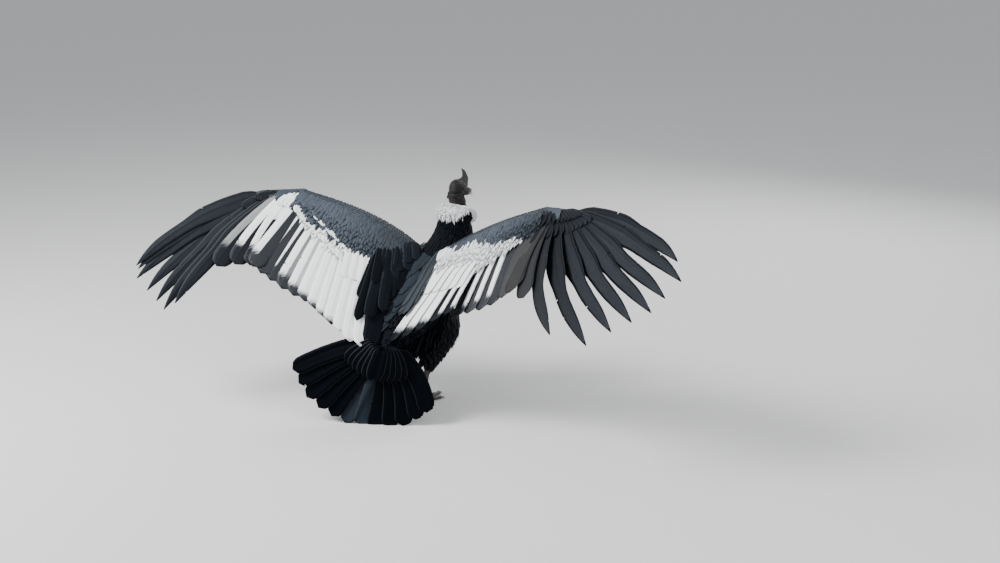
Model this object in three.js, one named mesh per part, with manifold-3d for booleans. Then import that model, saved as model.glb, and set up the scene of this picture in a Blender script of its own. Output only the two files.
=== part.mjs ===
import * as THREE from "three";
import Module from "manifold-3d";

// An adult male Andean condor at life size. It stands with its wings spread and drooping and its tail
// fanned down to the floor. Lengths are in millimetres and angles in degrees. X runs to the bird's right,
// Y the way it faces and Z up, and the sizes below are measured from the floor between its feet.

const wasm = await Module();
wasm.setup();

const v = (x, y, z) => new THREE.Vector3(x, y, z);
const rad = THREE.MathUtils.degToRad;
const { clamp, lerp } = THREE.MathUtils;

// Driving sizes
const gap = 0.3; // between neighbours that touch
const up = v(0, 0, 1);
const rightwards = v(1, 0, 0);

const body = {
  // The line of the back from the tail base to the neck, then how deep and wide the trunk is below it
  backY: [-236, -150, -40, 65, 150, 200, 222],
  backZ: [334, 412, 508, 594, 662, 736, 808],
  sideways: [0, 0, 0, 2, 14, 38, 50],
  depth: [46, 146, 226, 256, 244, 200, 162],
  width: [104, 204, 268, 292, 256, 188, 148],
  lean: [41, 40, 40, 41, 50, 64, 70], // how steeply the trunk's axis climbs
  rings: 15,
  sides: 20,
  bellyNarrow: 0.12,
  bellyDeep: 1.06,
  backFlat: 0.06,
};

// The mantle is a band of feathers down the back, turned to the left with the tail.
const mantle = {
  way: v(-0.27, -0.73, -0.63),
  facing: v(0, -0.65, 0.76),
  startY: 150,
  startZ: 662,
  rightEdge: 62,
  leftEdge: -34,
  from: 0.62,
  to: 0.12,
  rows: 5,
  columns: 2,
  spread: 74,
  width: 66,
  length: 150,
  lengthSpread: 8,
  rootDepth: 6,
  roundDrop: 40,
  roundAt: 150,
  tipRise: 22,
  sag: 4,
  tilt: 4,
};

// The ruff is a collar of down. Its locks hang deepest at the nape, and a notch parts them on the right.
const ruff = {
  height: 68,
  radius: [62, 77, 82, 75, 48], // from its foot to its top
  napeBulge: 8,
  bulgeStart: 0.15,
  notchFrom: 2,
  notchTo: 30,
  notchMargin: 8,
  sides: 16,
  lockWidth: 46,
  lockThick: 4,
  lockSag: 5,
  lockTilt: 12,
  rootDepth: 8,
  tiers: [
    { locks: 10, from: 0.62, to: 0.2, out: 13 },
    { locks: 7, from: 0.86, to: 0.5, out: 9 },
  ],
  napeDrop: 44,
  napeOut: 12,
  sideDrop: 8,
  dropSpread: 4,
};

const neck = {
  radius: 35,
  depth: 1.06,
  foldHeight: 2.4,
  top: v(0, -24, -18), // in the head's own frame
  bendAt: 0.55,
  bend: v(0, -3, 0),
  start: 0.2,
  headAt: 0.82,
  headJoin: v(0, -14, -50), // in the head's own frame
};

const head = {
  centre: v(52, 324, 924),
  turn: 3, // to the right of straight ahead
  pitch: -14, // nods down
  roll: -1, // leans to the left
  // From the nape to the front of the cere, in the head's own frame
  profileY: [-56, -51, -36, -14, 8, 30, 48, 62, 74],
  profileZ: [-6, -6, -3, 0, 2, -1, -5, -8, -9],
  halfWidth: [10, 20, 29, 32, 31, 25.5, 19, 15, 12.5],
  halfHeight: [14, 27, 38, 38, 34, 29, 24.5, 21, 19],
  jawNarrow: 0.14,
  rings: 10,
  sides: 14,
};

const eye = {
  radius: 8.6,
  place: v(19.5, 20, 8),
  lid: 2.6,
  lidLong: 1.12,
  lidHigh: 0.96,
  opening: v(9, 7.4, 5.6),
  facing: v(1, 0.35, 0.08),
};

const nostril = { place: v(14, 62, -3), size: v(5, 6, 2.6) };

// The throat wattle hangs from the chin to the upper neck, and two folds of skin run down each side.
const wattle = {
  chin: v(0, 40, -26),
  foot: v(0, -8, -54),
  way: v(0, 0.5, -0.86),
  thick: [4, 3], // at its ends, and how much more halfway
  deep: [6, 15],
};

const cheek = {
  folds: 2,
  top: v(27, 2, -8),
  middle: v(33, -8, -30),
  foot: v(29, -24, -52),
  nextTop: v(0, -16, -2),
  nextMiddle: v(0, -15, 0),
  nextFoot: v(0, -12, 0),
  thick: [2.5, 3.5],
};

const mouth = {
  height: -16,
  at: [18, 46, 76],
  drop: [-3, 0, 1.5],
  outer: [38, 30, 23],
  inner: [23, 14, 8],
  outerHalf: 0.9,
  innerHalf: 0.6,
};

const bill = {
  length: 46,
  crownDrop: 7,
  tipDrop: 24,
  hookDrop: 14,
  hookBack: 4,
  lowerLength: 33,
  lowerSink: 2,
  lowerFoot: 3,
  lowerRise: 5,
  tipHalf: 1.6,
};

const comb = {
  // The fleshy comb from its foot in the crown up to the lobe behind, in the head's own frame
  height: [0, 22, 38, 48, 62, 74, 84, 90],
  rear: [-38, -34, -18, 8, 17, 14, 6, 1],
  front: [73, 74, 74, 71, 63, 49, 33, 15],
  halfThick: 6,
  thinning: 0.6,
};

const feather = { thick: 1.3, tilt: 5.5, thinning: 0.45 };

const wing = {
  upperArm: 290,
  forearm: 330,
  hand: 150,
  chord: v(0, -0.8, -0.6), // the way the chord runs, before it is squared to the arm
  thick: [66, 48, 42, 36, 30, 24],
  lead: [40, 68, 80, 76, 60, 38],
  rear: [96, 138, 164, 130, 86, 42],
  intoBody: 40,
  pastWrist: 6,
  handHalfWide: [38, 18],
  handHalfThick: [11, 5],
  handPast: 12,
  handForward: 2,
};

const poses = {
  right: {
    sign: 1,
    shoulder: v(95, 150, 655),
    wrist: v(590, 90, 903),
    handFan: 18,
    handDroop: 9,
    fan: [97, 76, 62, 51, 41, 30],
    droop: [1, 4, 12, 15, 16, 17],
    bow: [-0.02, -0.08, -0.045, -0.01, 0.02, 0.08],
    reach: [435, 485, 740, 830, 800, 810, 830, 825, 825, 745],
    splitFan: 90,
    elbowFan: 103,
    secondaries: 6,
    secondaryFan: [91.5, 93.5, 97, 102, 107],
    secondaryDroop: [1, 3, 5, 6, 6],
    secondaryLength: [406, 396, 371, 333, 302],
    tertials: 5,
    tertialLength: [320, 420, 500],
    tertialFan: [104, 116],
    scapulars: 4,
    scapularsFrom: 0.88,
    scapularsTo: 1.18,
    scapularFan: [112, 124],
    fingers: 8,
  },
  left: {
    sign: -1,
    shoulder: v(-95, 150, 655),
    wrist: v(-588, 18, 881),
    handFan: 24,
    handDroop: 6,
    fan: [87, 74.5, 73, 64, 55, 52],
    droop: [3, 3, 8, 13, 12, 11],
    bow: [0.03, 0.04, 0.05, 0.055, 0.06, 0.08],
    reach: [431, 467, 525, 763, 808, 803, 809, 821, 797, 798],
    splitFan: 87,
    elbowFan: 104,
    secondaries: 8,
    secondaryFan: [87, 89, 95, 100, 104.5],
    secondaryDroop: [-2, 0, 0, 0, 0],
    secondaryLength: [440, 420, 409, 385, 385],
    tertials: 6,
    tertialLength: [418, 510, 515],
    tertialFan: [105, 111],
    scapulars: 6,
    scapularsFrom: 0.5,
    scapularsTo: 1.02,
    scapularFan: [103, 125],
    fingers: 7,
  },
};

// Each kind of wing feather: its vane, where its root sits on the wing and how far its tip is raised
const primaries = { count: 10, width: 96, rootFrom: 30, back: 4, sag: 0.02 };
const primaryCoverts = {
  count: 6, width: 54, length: 165, shorter: 0.15, rootFrom: 14, rootEnd: 8, lift: 3, rise: 9, fanShift: -2,
  droopShare: 0.8,
};
const alula = {
  count: 3, width: 34, length: 120, shorter: 0.2, rootFrom: 8, rootTo: 26, back: [4, -12], lift: 6,
  fanShift: 14, fanStep: 9, rise: 4,
};
const secondaries = { width: 96, lift: 0, rise: 0, back: 0, fanShift: 0, sag: 0.01 };
const greaterCoverts = {
  count: 8, width: 76, length: 120, lift: 3, rise: 9, back: -22, fanShift: 1, sag: 0.01,
};
const medianCoverts = {
  count: 6, width: 80, length: 95, lift: 7, rise: 11, back: -52, fanShift: 2, sag: 0.01,
};
const onUlna = { from: 0.1, to: 0.95 };
const tertials = { width: 92, from: 0.1, to: 0.75, lift: [3, 8], back: 0, rise: 1, sag: 6 };
const scapulars = { width: 78, length: [400, 380, 350], lift: [14, 24], back: -20, rise: 3, sag: 5 };

const tail = {
  root: v(-2, -240, 332),
  down: v(-0.202, -0.355, -0.914), // the way the middle of the fan points
  across: v(0.919, 0.266, -0.301), // from its left corner to its right one
  fanLeft: 51,
  fanRight: 48,
  rootWidth: 100,
  rootLow: 4,
  rootStep: 10,
  pile: 9,
  feathers: { count: 12, width: 78, length: [372, 392, 388, 372, 345, 300], lift: -6, rise: 0, spread: 1 },
  coverts: { count: 6, width: 62, length: [165, 165], lift: 10, rise: -4, spread: 0.75 },
  bowLeft: 0.04,
  bowRight: 0.1,
  sag: 3,
  tilt: 7,
  // The fleshy base that the feathers grow from, and the room round it that the wings leave
  baseLow: [-34, 0, 40, 70],
  baseWide: [48, 54, 58, 56],
  baseDeep: [22, 17, 11, 5],
  baseRoom: 9,
};

const leg = {
  hip: v(84, 128, 410),
  knee: v(101, 72, 312),
  ankle: v(76, -4, 196),
  foot: v(46, 10, 0),
  thighWide: [62, 66, 48, 27],
  thighDeep: [84, 78, 54, 30],
  shankRadius: 12.5,
  ankleRadius: 17,
  ankleFade: 5,
  shankFlare: 2.5,
  shankDepth: 1.1,
  shankFoot: 46,
  shankBack: 8,
  palm: v(23, 27, 34),
  palmBack: 4,
  palmHeight: 20,
};

const toes = [
  { name: "middle", turn: 3, length: 118, radius: 11.5, claw: 27 },
  { name: "inner", turn: -27, length: 74, radius: 10, claw: 24 },
  { name: "outer", turn: 30, length: 84, radius: 9.5, claw: 21 },
  { name: "hind", turn: 176, length: 42, radius: 8, claw: 16 },
];

const toeForm = { wide: [1.15, 0.72], high: [1.5, 0.85], crease: 0.86, sink: 0.82, sides: 7 };
const clawForm = { radius: 0.6, taper: 0.78, base: 1.15, wide: 0.86, bend: 0.45, clear: 0.2, sides: 6 };

// Colours and finishes
const looks = {
  black: { color: 0x16181d, roughness: 0.62 },
  slate: { color: 0x2a3036, roughness: 0.6 },
  white: { color: 0xdfe0dc, roughness: 0.8 },
  skin: { color: 0x3b3231, roughness: 0.72 },
  comb: { color: 0x33343a, roughness: 0.6 },
  ivory: { color: 0xcfc4a6, roughness: 0.4 },
  eye: { color: 0x2a1a12, roughness: 0.12 },
  leg: { color: 0x55534f, roughness: 0.75 },
  claw: { color: 0x1d1b1a, roughness: 0.4 },
};

// Numbers along a run and seeded chance
function run(values, t) {
  const x = clamp(t, 0, 1) * (values.length - 1);
  const i = Math.min(Math.floor(x), values.length - 2);
  const at = (k) => values[clamp(k, 0, values.length - 1)];
  const [a, b, c, d] = [at(i - 1), at(i), at(i + 1), at(i + 2)];
  const f = x - i;
  return b + 0.5 * f * (c - a + f * (2 * a - 5 * b + 4 * c - d + f * (3 * (b - c) + d - a)));
}

function chance(seed) {
  let state = seed;
  return (spread) => {
    state = (state * 1664525 + 1013904223) % 4294967296;
    return (state / 4294967296 - 0.5) * 2 * spread;
  };
}

const span = (count) => Array.from({ length: count }, (_, i) => (count > 1 ? i / (count - 1) : 0.5));
const between = ([from, to], t) => lerp(from, to, t);
const swell = ([ends, more], t) => ends + more * Math.sin(Math.PI * t);
const cross = (a, b) => v(0, 0, 0).crossVectors(a, b);
const moved = (point, way, distance) => point.clone().addScaledVector(way, distance);

// Closed surfaces
function closed(points, triangles) {
  let volume = 0;
  for (let i = 0; i < triangles.length; i += 3) {
    const [a, b, c] = [points[triangles[i]], points[triangles[i + 1]], points[triangles[i + 2]]];
    volume += a.dot(cross(b, c));
  }
  if (volume < 0) triangles.reverse();
  const mesh = new wasm.Mesh({
    numProp: 3,
    vertProperties: new Float32Array(points.flatMap((p) => [p.x, p.y, p.z])),
    triVerts: new Uint32Array(triangles),
  });
  return new wasm.Manifold(mesh);
}

// A skin through rings of equally many points, each end shut by a fan round its middle
function loft(rings) {
  const count = rings[0].length;
  const points = rings.flat();
  const triangles = [];
  for (let i = 0; i + 1 < rings.length; i += 1) {
    for (let j = 0; j < count; j += 1) {
      const a = i * count + j;
      const b = i * count + ((j + 1) % count);
      triangles.push(a, b, b + count, a, b + count, a + count);
    }
  }
  for (const [i, turned] of [[0, true], [rings.length - 1, false]]) {
    const middle = points.length;
    points.push(rings[i].reduce((sum, p) => sum.add(p), v(0, 0, 0)).divideScalar(count));
    for (let j = 0; j < count; j += 1) {
      const a = i * count + j;
      const b = i * count + ((j + 1) % count);
      triangles.push(...(turned ? [b, a, middle] : [a, b, middle]));
    }
  }
  return closed(points, triangles);
}

function ring(centre, side, high, halfWide, halfHigh, count, shape = (c, s) => [c, s]) {
  return Array.from({ length: count }, (_, i) => {
    const angle = (2 * Math.PI * i) / count;
    const [c, s] = shape(Math.cos(angle), Math.sin(angle));
    return centre.clone().addScaledVector(side, halfWide * c).addScaledVector(high, halfHigh * s);
  });
}

// A bent plate through rows of two points, with its upper and lower faces split into triangles alike
function plate(rows, highs, thicks) {
  const lift = (p, i, way) => moved(p, highs[i], (way * thicks[i]) / 2);
  const points = [
    ...rows.flatMap((row, i) => row.map((p) => lift(p, i, 1))),
    ...rows.flatMap((row, i) => row.map((p) => lift(p, i, -1))),
  ];
  const n = rows.length * 2;
  const triangles = [];
  for (let i = 0; i + 1 < rows.length; i += 1) {
    const [a, b, c, d] = [2 * i, 2 * i + 1, 2 * i + 2, 2 * i + 3];
    triangles.push(a, b, d, a, d, c, a + n, d + n, b + n, a + n, c + n, d + n);
    triangles.push(d, b, b + n, d, b + n, d + n, a, c, c + n, a, c + n, a + n);
  }
  const [c, d] = [n - 2, n - 1];
  triangles.push(1, 0, n, 1, n, n + 1, c, d, d + n, c, d + n, c + n);
  return closed(points, triangles);
}

// How wide a vane is along its length, as shares of its full width
const shapes = {
  flight: { at: [0, 0.14, 0.55, 0.9, 1], wide: [0.3, 0.86, 1, 0.76, 0.22] },
  finger: { at: [0, 0.12, 0.42, 0.6, 0.86, 1], wide: [0.3, 0.84, 1, 0.84, 0.68, 0.14] },
  covert: { at: [0, 0.35, 0.8, 1], wide: [0.55, 1, 0.86, 0.3] },
  small: { at: [0, 0.7, 1], wide: [0.7, 1, 0.34] },
  lock: { at: [0, 0.45, 1], wide: [0.75, 0.95, 0.22] },
};

// A feather vane from root to tip. It bows by `bow` towards `outer` and by `sag` towards `normal`, and its
// outer edge is lifted by the tilt.
function vane({
  root, tip, normal, outer, width, shape, bow = 0, sag = 0, tilt = feather.tilt, thick = feather.thick,
}) {
  const along = tip.clone().sub(root);
  const side = outer.clone().projectOnPlane(along).normalize();
  const high = normal.clone().projectOnPlane(along).normalize();
  const middle = root.clone().lerp(tip, 0.5).addScaledVector(side, 2 * bow).addScaledVector(high, 2 * sag);
  const curve = new THREE.QuadraticBezierCurve3(root, middle, tip);
  const over = normal.clone().multiplyScalar(Math.cos(rad(tilt)))
    .addScaledVector(side, -Math.sin(rad(tilt)));
  const rows = [];
  const highs = [];
  shape.at.forEach((t, i) => {
    const centre = curve.getPoint(t);
    const ahead = curve.getTangent(t);
    const across = cross(ahead, over).normalize();
    const half = (shape.wide[i] * width) / 2;
    rows.push([moved(centre, across, -half), moved(centre, across, half)]);
    highs.push(cross(across, ahead).normalize());
  });
  const thicks = shape.at.map((t) => thick * (1 - feather.thinning * t));
  return plate(rows, highs, thicks);
}

// Joining and cutting
const join = (solids) => wasm.Manifold.union(solids);
const keep = (solid, normal, point) => {
  const n = normal.clone().normalize();
  return solid.trimByPlane([n.x, n.y, n.z], n.dot(point));
};
const largest = (solid) => solid.decompose().reduce((a, b) => (b.volume() > a.volume() ? b : a));

function ellipsoid(centre, radii, axes, detail = 10) {
  const [side, ahead, high] = axes;
  const points = [];
  const triangles = [];
  const rows = Math.round(detail * 0.6);
  for (let i = 1; i < rows; i += 1) {
    const polar = (Math.PI * i) / rows;
    const level = moved(centre, high, radii.z * Math.cos(polar));
    points.push(...ring(level, side, ahead, radii.x * Math.sin(polar), radii.y * Math.sin(polar), detail));
  }
  const top = points.length;
  points.push(moved(centre, high, radii.z), moved(centre, high, -radii.z));
  for (let j = 0; j < detail; j += 1) {
    const k = (j + 1) % detail;
    for (let i = 0; i + 2 < rows; i += 1) {
      const [a, b] = [i * detail + j, i * detail + k];
      triangles.push(a, a + detail, b + detail, a, b + detail, b);
    }
    const last = (rows - 2) * detail;
    triangles.push(top, j, k, top + 1, last + k, last + j);
  }
  return closed(points, triangles);
}

function mesh(name, solid, look) {
  const made = solid.getMesh();
  const geometry = new THREE.BufferGeometry();
  geometry.setAttribute("position", new THREE.BufferAttribute(new Float32Array(made.vertProperties), 3));
  geometry.setIndex(new THREE.BufferAttribute(new Uint32Array(made.triVerts), 1));
  geometry.computeVertexNormals();
  const material = new THREE.MeshStandardMaterial({ metalness: 0, ...looks[look] });
  const piece = new THREE.Mesh(geometry, material);
  piece.name = name;
  return piece;
}

// Trunk
const backPoint = (t) => v(run(body.sideways, t), run(body.backY, t), run(body.backZ, t));

const trunkShape = (c, s) => [
  c * (1 - body.bellyNarrow * Math.max(0, -s)),
  s * (s < 0 ? body.bellyDeep : 1 - body.backFlat * c * c),
];

function trunkRing(t, grow) {
  const lean = rad(run(body.lean, t));
  const high = v(0, -Math.sin(lean), Math.cos(lean));
  const depth = run(body.depth, t) / 2;
  const halfWide = run(body.width, t) / 2 + grow;
  const centre = moved(backPoint(t), high, -depth);
  const points = ring(centre, rightwards, high, halfWide, depth + grow, body.sides, trunkShape);
  return { centre, high, points };
}

function trunk(grow) {
  const rings = span(body.rings).map((t) => trunkRing(t, grow).points);
  if (grow > 0) {
    const ahead = (t) => cross(trunkRing(t, 0).high, rightwards).normalize();
    rings[0].forEach((p) => p.addScaledVector(ahead(0), -grow));
    rings[rings.length - 1].forEach((p) => p.addScaledVector(ahead(1), grow));
  }
  return loft(rings);
}

const torsoClear = trunk(gap + 0.1);

const mantleWay = mantle.way.clone().normalize();
const mantleHigh = mantle.facing.clone().projectOnPlane(mantleWay).normalize();
const mantleSide = cross(mantleHigh, mantleWay).normalize();

// Each wing's long inner feathers stop at the edge of the mantle.
const wingEdge = {
  right: v(mantle.rightEdge, mantle.startY, mantle.startZ),
  left: v(mantle.leftEdge, mantle.startY, mantle.startZ),
};

function torsoSolid() {
  const random = chance(11);
  const feathers = [];
  const middle = lerp(mantle.rightEdge, mantle.leftEdge, 0.5);
  span(mantle.rows).forEach((down, row) => {
    const t = lerp(mantle.from, mantle.to, down);
    const { high } = trunkRing(t, 0);
    const back = backPoint(t);
    for (let column = 0; column < mantle.columns; column += 1) {
      const u = (column + (row % 2) * 0.5) / (mantle.columns - 0.5) - 0.5;
      const across = middle + (mantleWay.x * (back.y - mantle.startY)) / mantleWay.y + u * mantle.spread;
      const round = mantle.roundDrop * (across / mantle.roundAt) ** 2;
      const root = moved(back, high, -mantle.rootDepth - round).setX(across);
      const length = mantle.length + random(mantle.lengthSpread);
      const tip = moved(root, mantleWay, length).addScaledVector(high, mantle.tipRise);
      feathers.push(vane({
        root, tip, normal: mantleHigh, outer: mantleSide, width: mantle.width, shape: shapes.small,
        sag: mantle.sag, tilt: mantle.tilt,
      }));
    }
  });
  const rightCut = moved(wingEdge.right, mantleSide, -gap);
  const leftCut = moved(wingEdge.left, mantleSide, gap);
  const band = keep(keep(join(feathers), mantleSide.clone().negate(), rightCut), mantleSide, leftCut);
  return largest(join([trunk(0), band]));
}

// Neck, ruff and head
const neckFoot = trunkRing(1, 0);
const neckAxis = cross(neckFoot.high, rightwards).normalize();
const headFrame = new THREE.Matrix4()
  .makeRotationZ(rad(-head.turn))
  .multiply(new THREE.Matrix4().makeRotationX(rad(head.pitch)))
  .multiply(new THREE.Matrix4().makeRotationY(rad(head.roll)))
  .setPosition(head.centre);
const headAxes = [v(0, 0, 0), v(0, 0, 0), v(0, 0, 0)];
headFrame.extractBasis(...headAxes);
const inHead = (point) => point.clone().applyMatrix4(headFrame);
const ringInHead = (...sizes) => ring(...sizes).map(inHead);

const neckTop = inHead(neck.top);
const ruffTop = moved(neckFoot.centre, neckAxis, ruff.height + gap);
const neckCurve = new THREE.CatmullRomCurve3([
  moved(neckFoot.centre, neckAxis, gap),
  ruffTop,
  ruffTop.clone().lerp(neckTop, neck.bendAt).add(neck.bend),
  neckTop,
]);

// A place on the collar, at an angle round it from the bird's right by way of the nape
function onCollar(angle, radius, height) {
  return neckFoot.centre.clone()
    .addScaledVector(rightwards, radius * Math.cos(angle))
    .addScaledVector(neckFoot.high, radius * Math.sin(angle))
    .addScaledVector(neckAxis, height);
}

// How far the collar's own surface stands from its axis
function collarRadius(t, angle) {
  const rise = Math.sin(Math.PI * Math.min(1, t + ruff.bulgeStart));
  return run(ruff.radius, t) + ruff.napeBulge * rise * Math.max(0, Math.sin(angle));
}

function ruffSolid() {
  const core = loft(span(5).map((t) => Array.from({ length: ruff.sides }, (_, i) => {
    const angle = (2 * Math.PI * i) / ruff.sides;
    return onCollar(angle, collarRadius(t, angle), gap + t * ruff.height);
  })));
  const random = chance(7);
  const first = ruff.notchTo + ruff.notchMargin;
  const last = 360 + ruff.notchFrom - ruff.notchMargin;
  const locks = ruff.tiers.flatMap((tier) => span(tier.locks).map((t) => {
    const angle = rad(lerp(first, last, t));
    const nape = Math.max(0, Math.sin(angle)) ** 1.5;
    const drop = lerp(ruff.sideDrop, ruff.napeDrop, nape) + random(ruff.dropSpread);
    const root = onCollar(angle, collarRadius(tier.from, angle) - ruff.rootDepth, tier.from * ruff.height);
    const reach = ruff.radius[0] + tier.out + ruff.napeOut * nape;
    const tip = onCollar(angle, reach, tier.to * ruff.height - drop);
    const outward = onCollar(angle, 1, 0).sub(neckFoot.centre);
    const around = onCollar(angle + Math.PI / 2, 1, 0).sub(neckFoot.centre);
    return vane({
      root, tip, normal: outward, outer: around, width: ruff.lockWidth, shape: shapes.lock,
      sag: ruff.lockSag,
      tilt: ruff.lockTilt, thick: ruff.lockThick,
    });
  }));
  return largest(join([core, ...locks]).subtract(torsoClear));
}

function neckSolid() {
  const rings = span(9).map((t, i) => {
    const along = lerp(neck.start, 1, t);
    const ahead = neckCurve.getTangentAt(along);
    const side = rightwards.clone().projectOnPlane(ahead).normalize();
    const radius = neck.radius + (i > 0 && i % 2 ? neck.foldHeight : 0);
    return ring(neckCurve.getPointAt(along), side, cross(side, ahead), radius, radius * neck.depth, 16);
  });
  return keep(loft(rings), neckAxis, moved(ruffTop, neckAxis, gap));
}

const skullShape = (c, s) => [c * (1 - head.jawNarrow * Math.max(0, -s)), s];

const skullSolid = (grow) => loft(span(head.rings).map((t) => {
  const centre = v(0, run(head.profileY, t), run(head.profileZ, t));
  const halfWide = run(head.halfWidth, t) + grow;
  const halfHigh = run(head.halfHeight, t) + grow;
  return ringInHead(centre, rightwards, up, halfWide, halfHigh, head.sides, skullShape);
}));

const mirrored = (p, sign) => v(sign * p.x, p.y, p.z);

function eyeParts(sign) {
  const middle = mirrored(eye.place, sign);
  const place = inHead(middle);
  const outward = mirrored(eye.facing, sign).normalize();
  const front = inHead(moved(middle, outward, eye.radius));
  const lid = eye.radius + eye.lid;
  const room = eye.radius + gap;
  return {
    ball: ellipsoid(place, v(eye.radius, eye.radius, eye.radius), headAxes, 10),
    socket: ellipsoid(place, v(room, room, room), headAxes, 10),
    lids: ellipsoid(place, v(lid, lid * eye.lidLong, lid * eye.lidHigh), headAxes, 10),
    opening: ellipsoid(front, eye.opening, headAxes, 8),
  };
}

const throatWattle = () => loft(span(6).map((t) => {
  const centre = wattle.chin.clone().lerp(wattle.foot, t);
  return ringInHead(centre, rightwards, wattle.way, swell(wattle.thick, t), swell(wattle.deep, t), 8);
}));

function cheekFold(sign, index) {
  const curve = new THREE.QuadraticBezierCurve3(
    mirrored(moved(cheek.top, cheek.nextTop, index), sign),
    mirrored(moved(cheek.middle, cheek.nextMiddle, index), sign),
    mirrored(moved(cheek.foot, cheek.nextFoot, index), sign),
  );
  return loft(span(5).map((t) => {
    const ahead = curve.getTangent(t);
    const side = v(sign, 0, 0).projectOnPlane(ahead).normalize();
    const thick = swell(cheek.thick, t);
    return ringInHead(curve.getPoint(t), side, cross(side, ahead), thick, thick, 6);
  }));
}

const mouthCut = (sign) => loft(mouth.at.map((y, i) => {
  const z = mouth.height - mouth.drop[i];
  const corners = [
    [mouth.inner[i], -mouth.innerHalf],
    [mouth.outer[i], -mouth.outerHalf],
    [mouth.outer[i], mouth.outerHalf],
    [mouth.inner[i], mouth.innerHalf],
  ];
  return corners.map(([x, high]) => inHead(v(sign * x, y, z + high)));
}));

const nostrilCut = (sign) => ellipsoid(inHead(mirrored(nostril.place, sign)), nostril.size, headAxes, 8);

function headParts() {
  const eyes = { right: eyeParts(1), left: eyeParts(-1) };
  const both = [eyes.right, eyes.left];
  const neckSkin = neckSolid();
  const cutNormal = neckCurve.getTangentAt(neck.headAt);
  const cutPoint = inHead(neck.headJoin);
  const above = (solid) => keep(solid, cutNormal, moved(cutPoint, cutNormal, gap / 2));
  const below = (solid) => keep(solid, cutNormal.clone().negate(), moved(cutPoint, cutNormal, -gap / 2));
  const folds = [throatWattle()];
  for (const sign of [1, -1]) {
    for (let index = 0; index < cheek.folds; index += 1) folds.push(cheekFold(sign, index));
  }
  const whole = join([skullSolid(0), above(join([neckSkin, ...folds])), ...both.map((e) => e.lids)]);
  const cuts = [1, -1].flatMap((sign) => [mouthCut(sign), nostrilCut(sign)]);
  both.forEach((e) => cuts.push(e.opening, e.socket));
  return {
    head: largest(whole.subtract(join(cuts))),
    neck: largest(below(neckSkin).subtract(skullSolid(gap))),
    eyes,
  };
}

function combSolid() {
  const rings = comb.height.map((z, i) => {
    const centre = v(0, (comb.front[i] + comb.rear[i]) / 2, z);
    const half = (comb.front[i] - comb.rear[i]) / 2;
    const thick = comb.halfThick * (1 - comb.thinning * (i / comb.height.length) ** 2);
    return ringInHead(centre, v(0, 1, 0), rightwards, half, thick, 12);
  });
  return largest(loft(rings).subtract(skullSolid(gap + 0.1)));
}

const boxy = (c, s) => [Math.sign(c) * Math.abs(c) ** 0.6, Math.sign(s) * Math.abs(s) ** 0.75];

// Both halves of the bill grow from the front ring of the cere, parted at the mouth line.
const cere = {
  y: head.profileY.at(-1) + gap,
  z: head.profileZ.at(-1),
  halfWide: head.halfWidth.at(-1),
  halfHigh: head.halfHeight.at(-1),
};

function billRing(t, y, top, foot) {
  const wide = Math.max(cere.halfWide * Math.sqrt(1.02 - t ** 2.2), bill.tipHalf);
  return ringInHead(v(0, y, (top + foot) / 2), rightwards, up, wide, (top - foot) / 2, 12, boxy);
}

const upperBill = () => loft(span(7).map((t) => {
  const top = cere.z + cere.halfHigh - bill.crownDrop * t ** 2 - bill.tipDrop * t ** 5;
  const foot = mouth.height + gap - bill.hookDrop * t ** 7;
  return billRing(t, cere.y + bill.length * t - bill.hookBack * t ** 8, top, foot);
}));

const lowerBill = () => loft(span(5).map((t) => {
  const top = mouth.height - gap - bill.lowerSink * t;
  const foot = cere.z - cere.halfHigh + bill.lowerFoot + bill.lowerRise * t;
  return billRing(t, cere.y + bill.lowerLength * t, top, foot);
}));

// Wings
function wingFrame(pose) {
  const arm = pose.wrist.clone().sub(pose.shoulder);
  const reach = arm.length();
  const w = arm.normalize();
  const c = wing.chord.clone().projectOnPlane(w).normalize();
  const n = cross(c, w).multiplyScalar(pose.sign);
  const elbowTurn = Math.acos(
    (wing.upperArm ** 2 + reach ** 2 - wing.forearm ** 2) / (2 * wing.upperArm * reach));
  const elbow = pose.shoulder.clone()
    .addScaledVector(w, wing.upperArm * Math.cos(elbowTurn))
    .addScaledVector(c, wing.upperArm * Math.sin(elbowTurn));
  // The way of a feather that fans back from the arm and droops below it, and the way its outer edge looks
  const way = (fan, droop) => w.clone().multiplyScalar(Math.cos(rad(fan)))
    .addScaledVector(c, Math.sin(rad(fan)))
    .multiplyScalar(Math.cos(rad(droop)))
    .addScaledVector(n, -Math.sin(rad(droop)));
  const outerOf = (fan) => w.clone().multiplyScalar(Math.sin(rad(fan)))
    .addScaledVector(c, -Math.cos(rad(fan)));
  return { w, c, n, reach, elbow, way, outerOf };
}

// A section of the arm is round in front and thin behind.
const armShape = (c, s) => [c, s * (1 - 0.45 * c)];

function armBody(pose, frame) {
  return loft(span(9).map((t) => {
    const lead = run(wing.lead, t);
    const rear = run(wing.rear, t);
    const centre = moved(pose.shoulder, frame.w, lerp(-wing.intoBody, frame.reach + wing.pastWrist, t))
      .addScaledVector(frame.c, (rear - lead) / 2);
    return ring(centre, frame.c, frame.n, (rear + lead) / 2, run(wing.thick, t) / 2, 12, armShape);
  }));
}

function handBody(pose, frame) {
  const ahead = frame.way(pose.handFan, pose.handDroop);
  const c = frame.c.clone().projectOnPlane(ahead).normalize();
  const n = frame.n.clone().projectOnPlane(ahead).normalize();
  return loft(span(5).map((t) => {
    const centre = moved(pose.wrist, ahead, lerp(-wing.handPast, wing.hand + wing.handPast, t))
      .addScaledVector(c, -wing.handForward);
    return ring(centre, c, n, between(wing.handHalfWide, t), between(wing.handHalfThick, t), 10, armShape);
  }));
}

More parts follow.
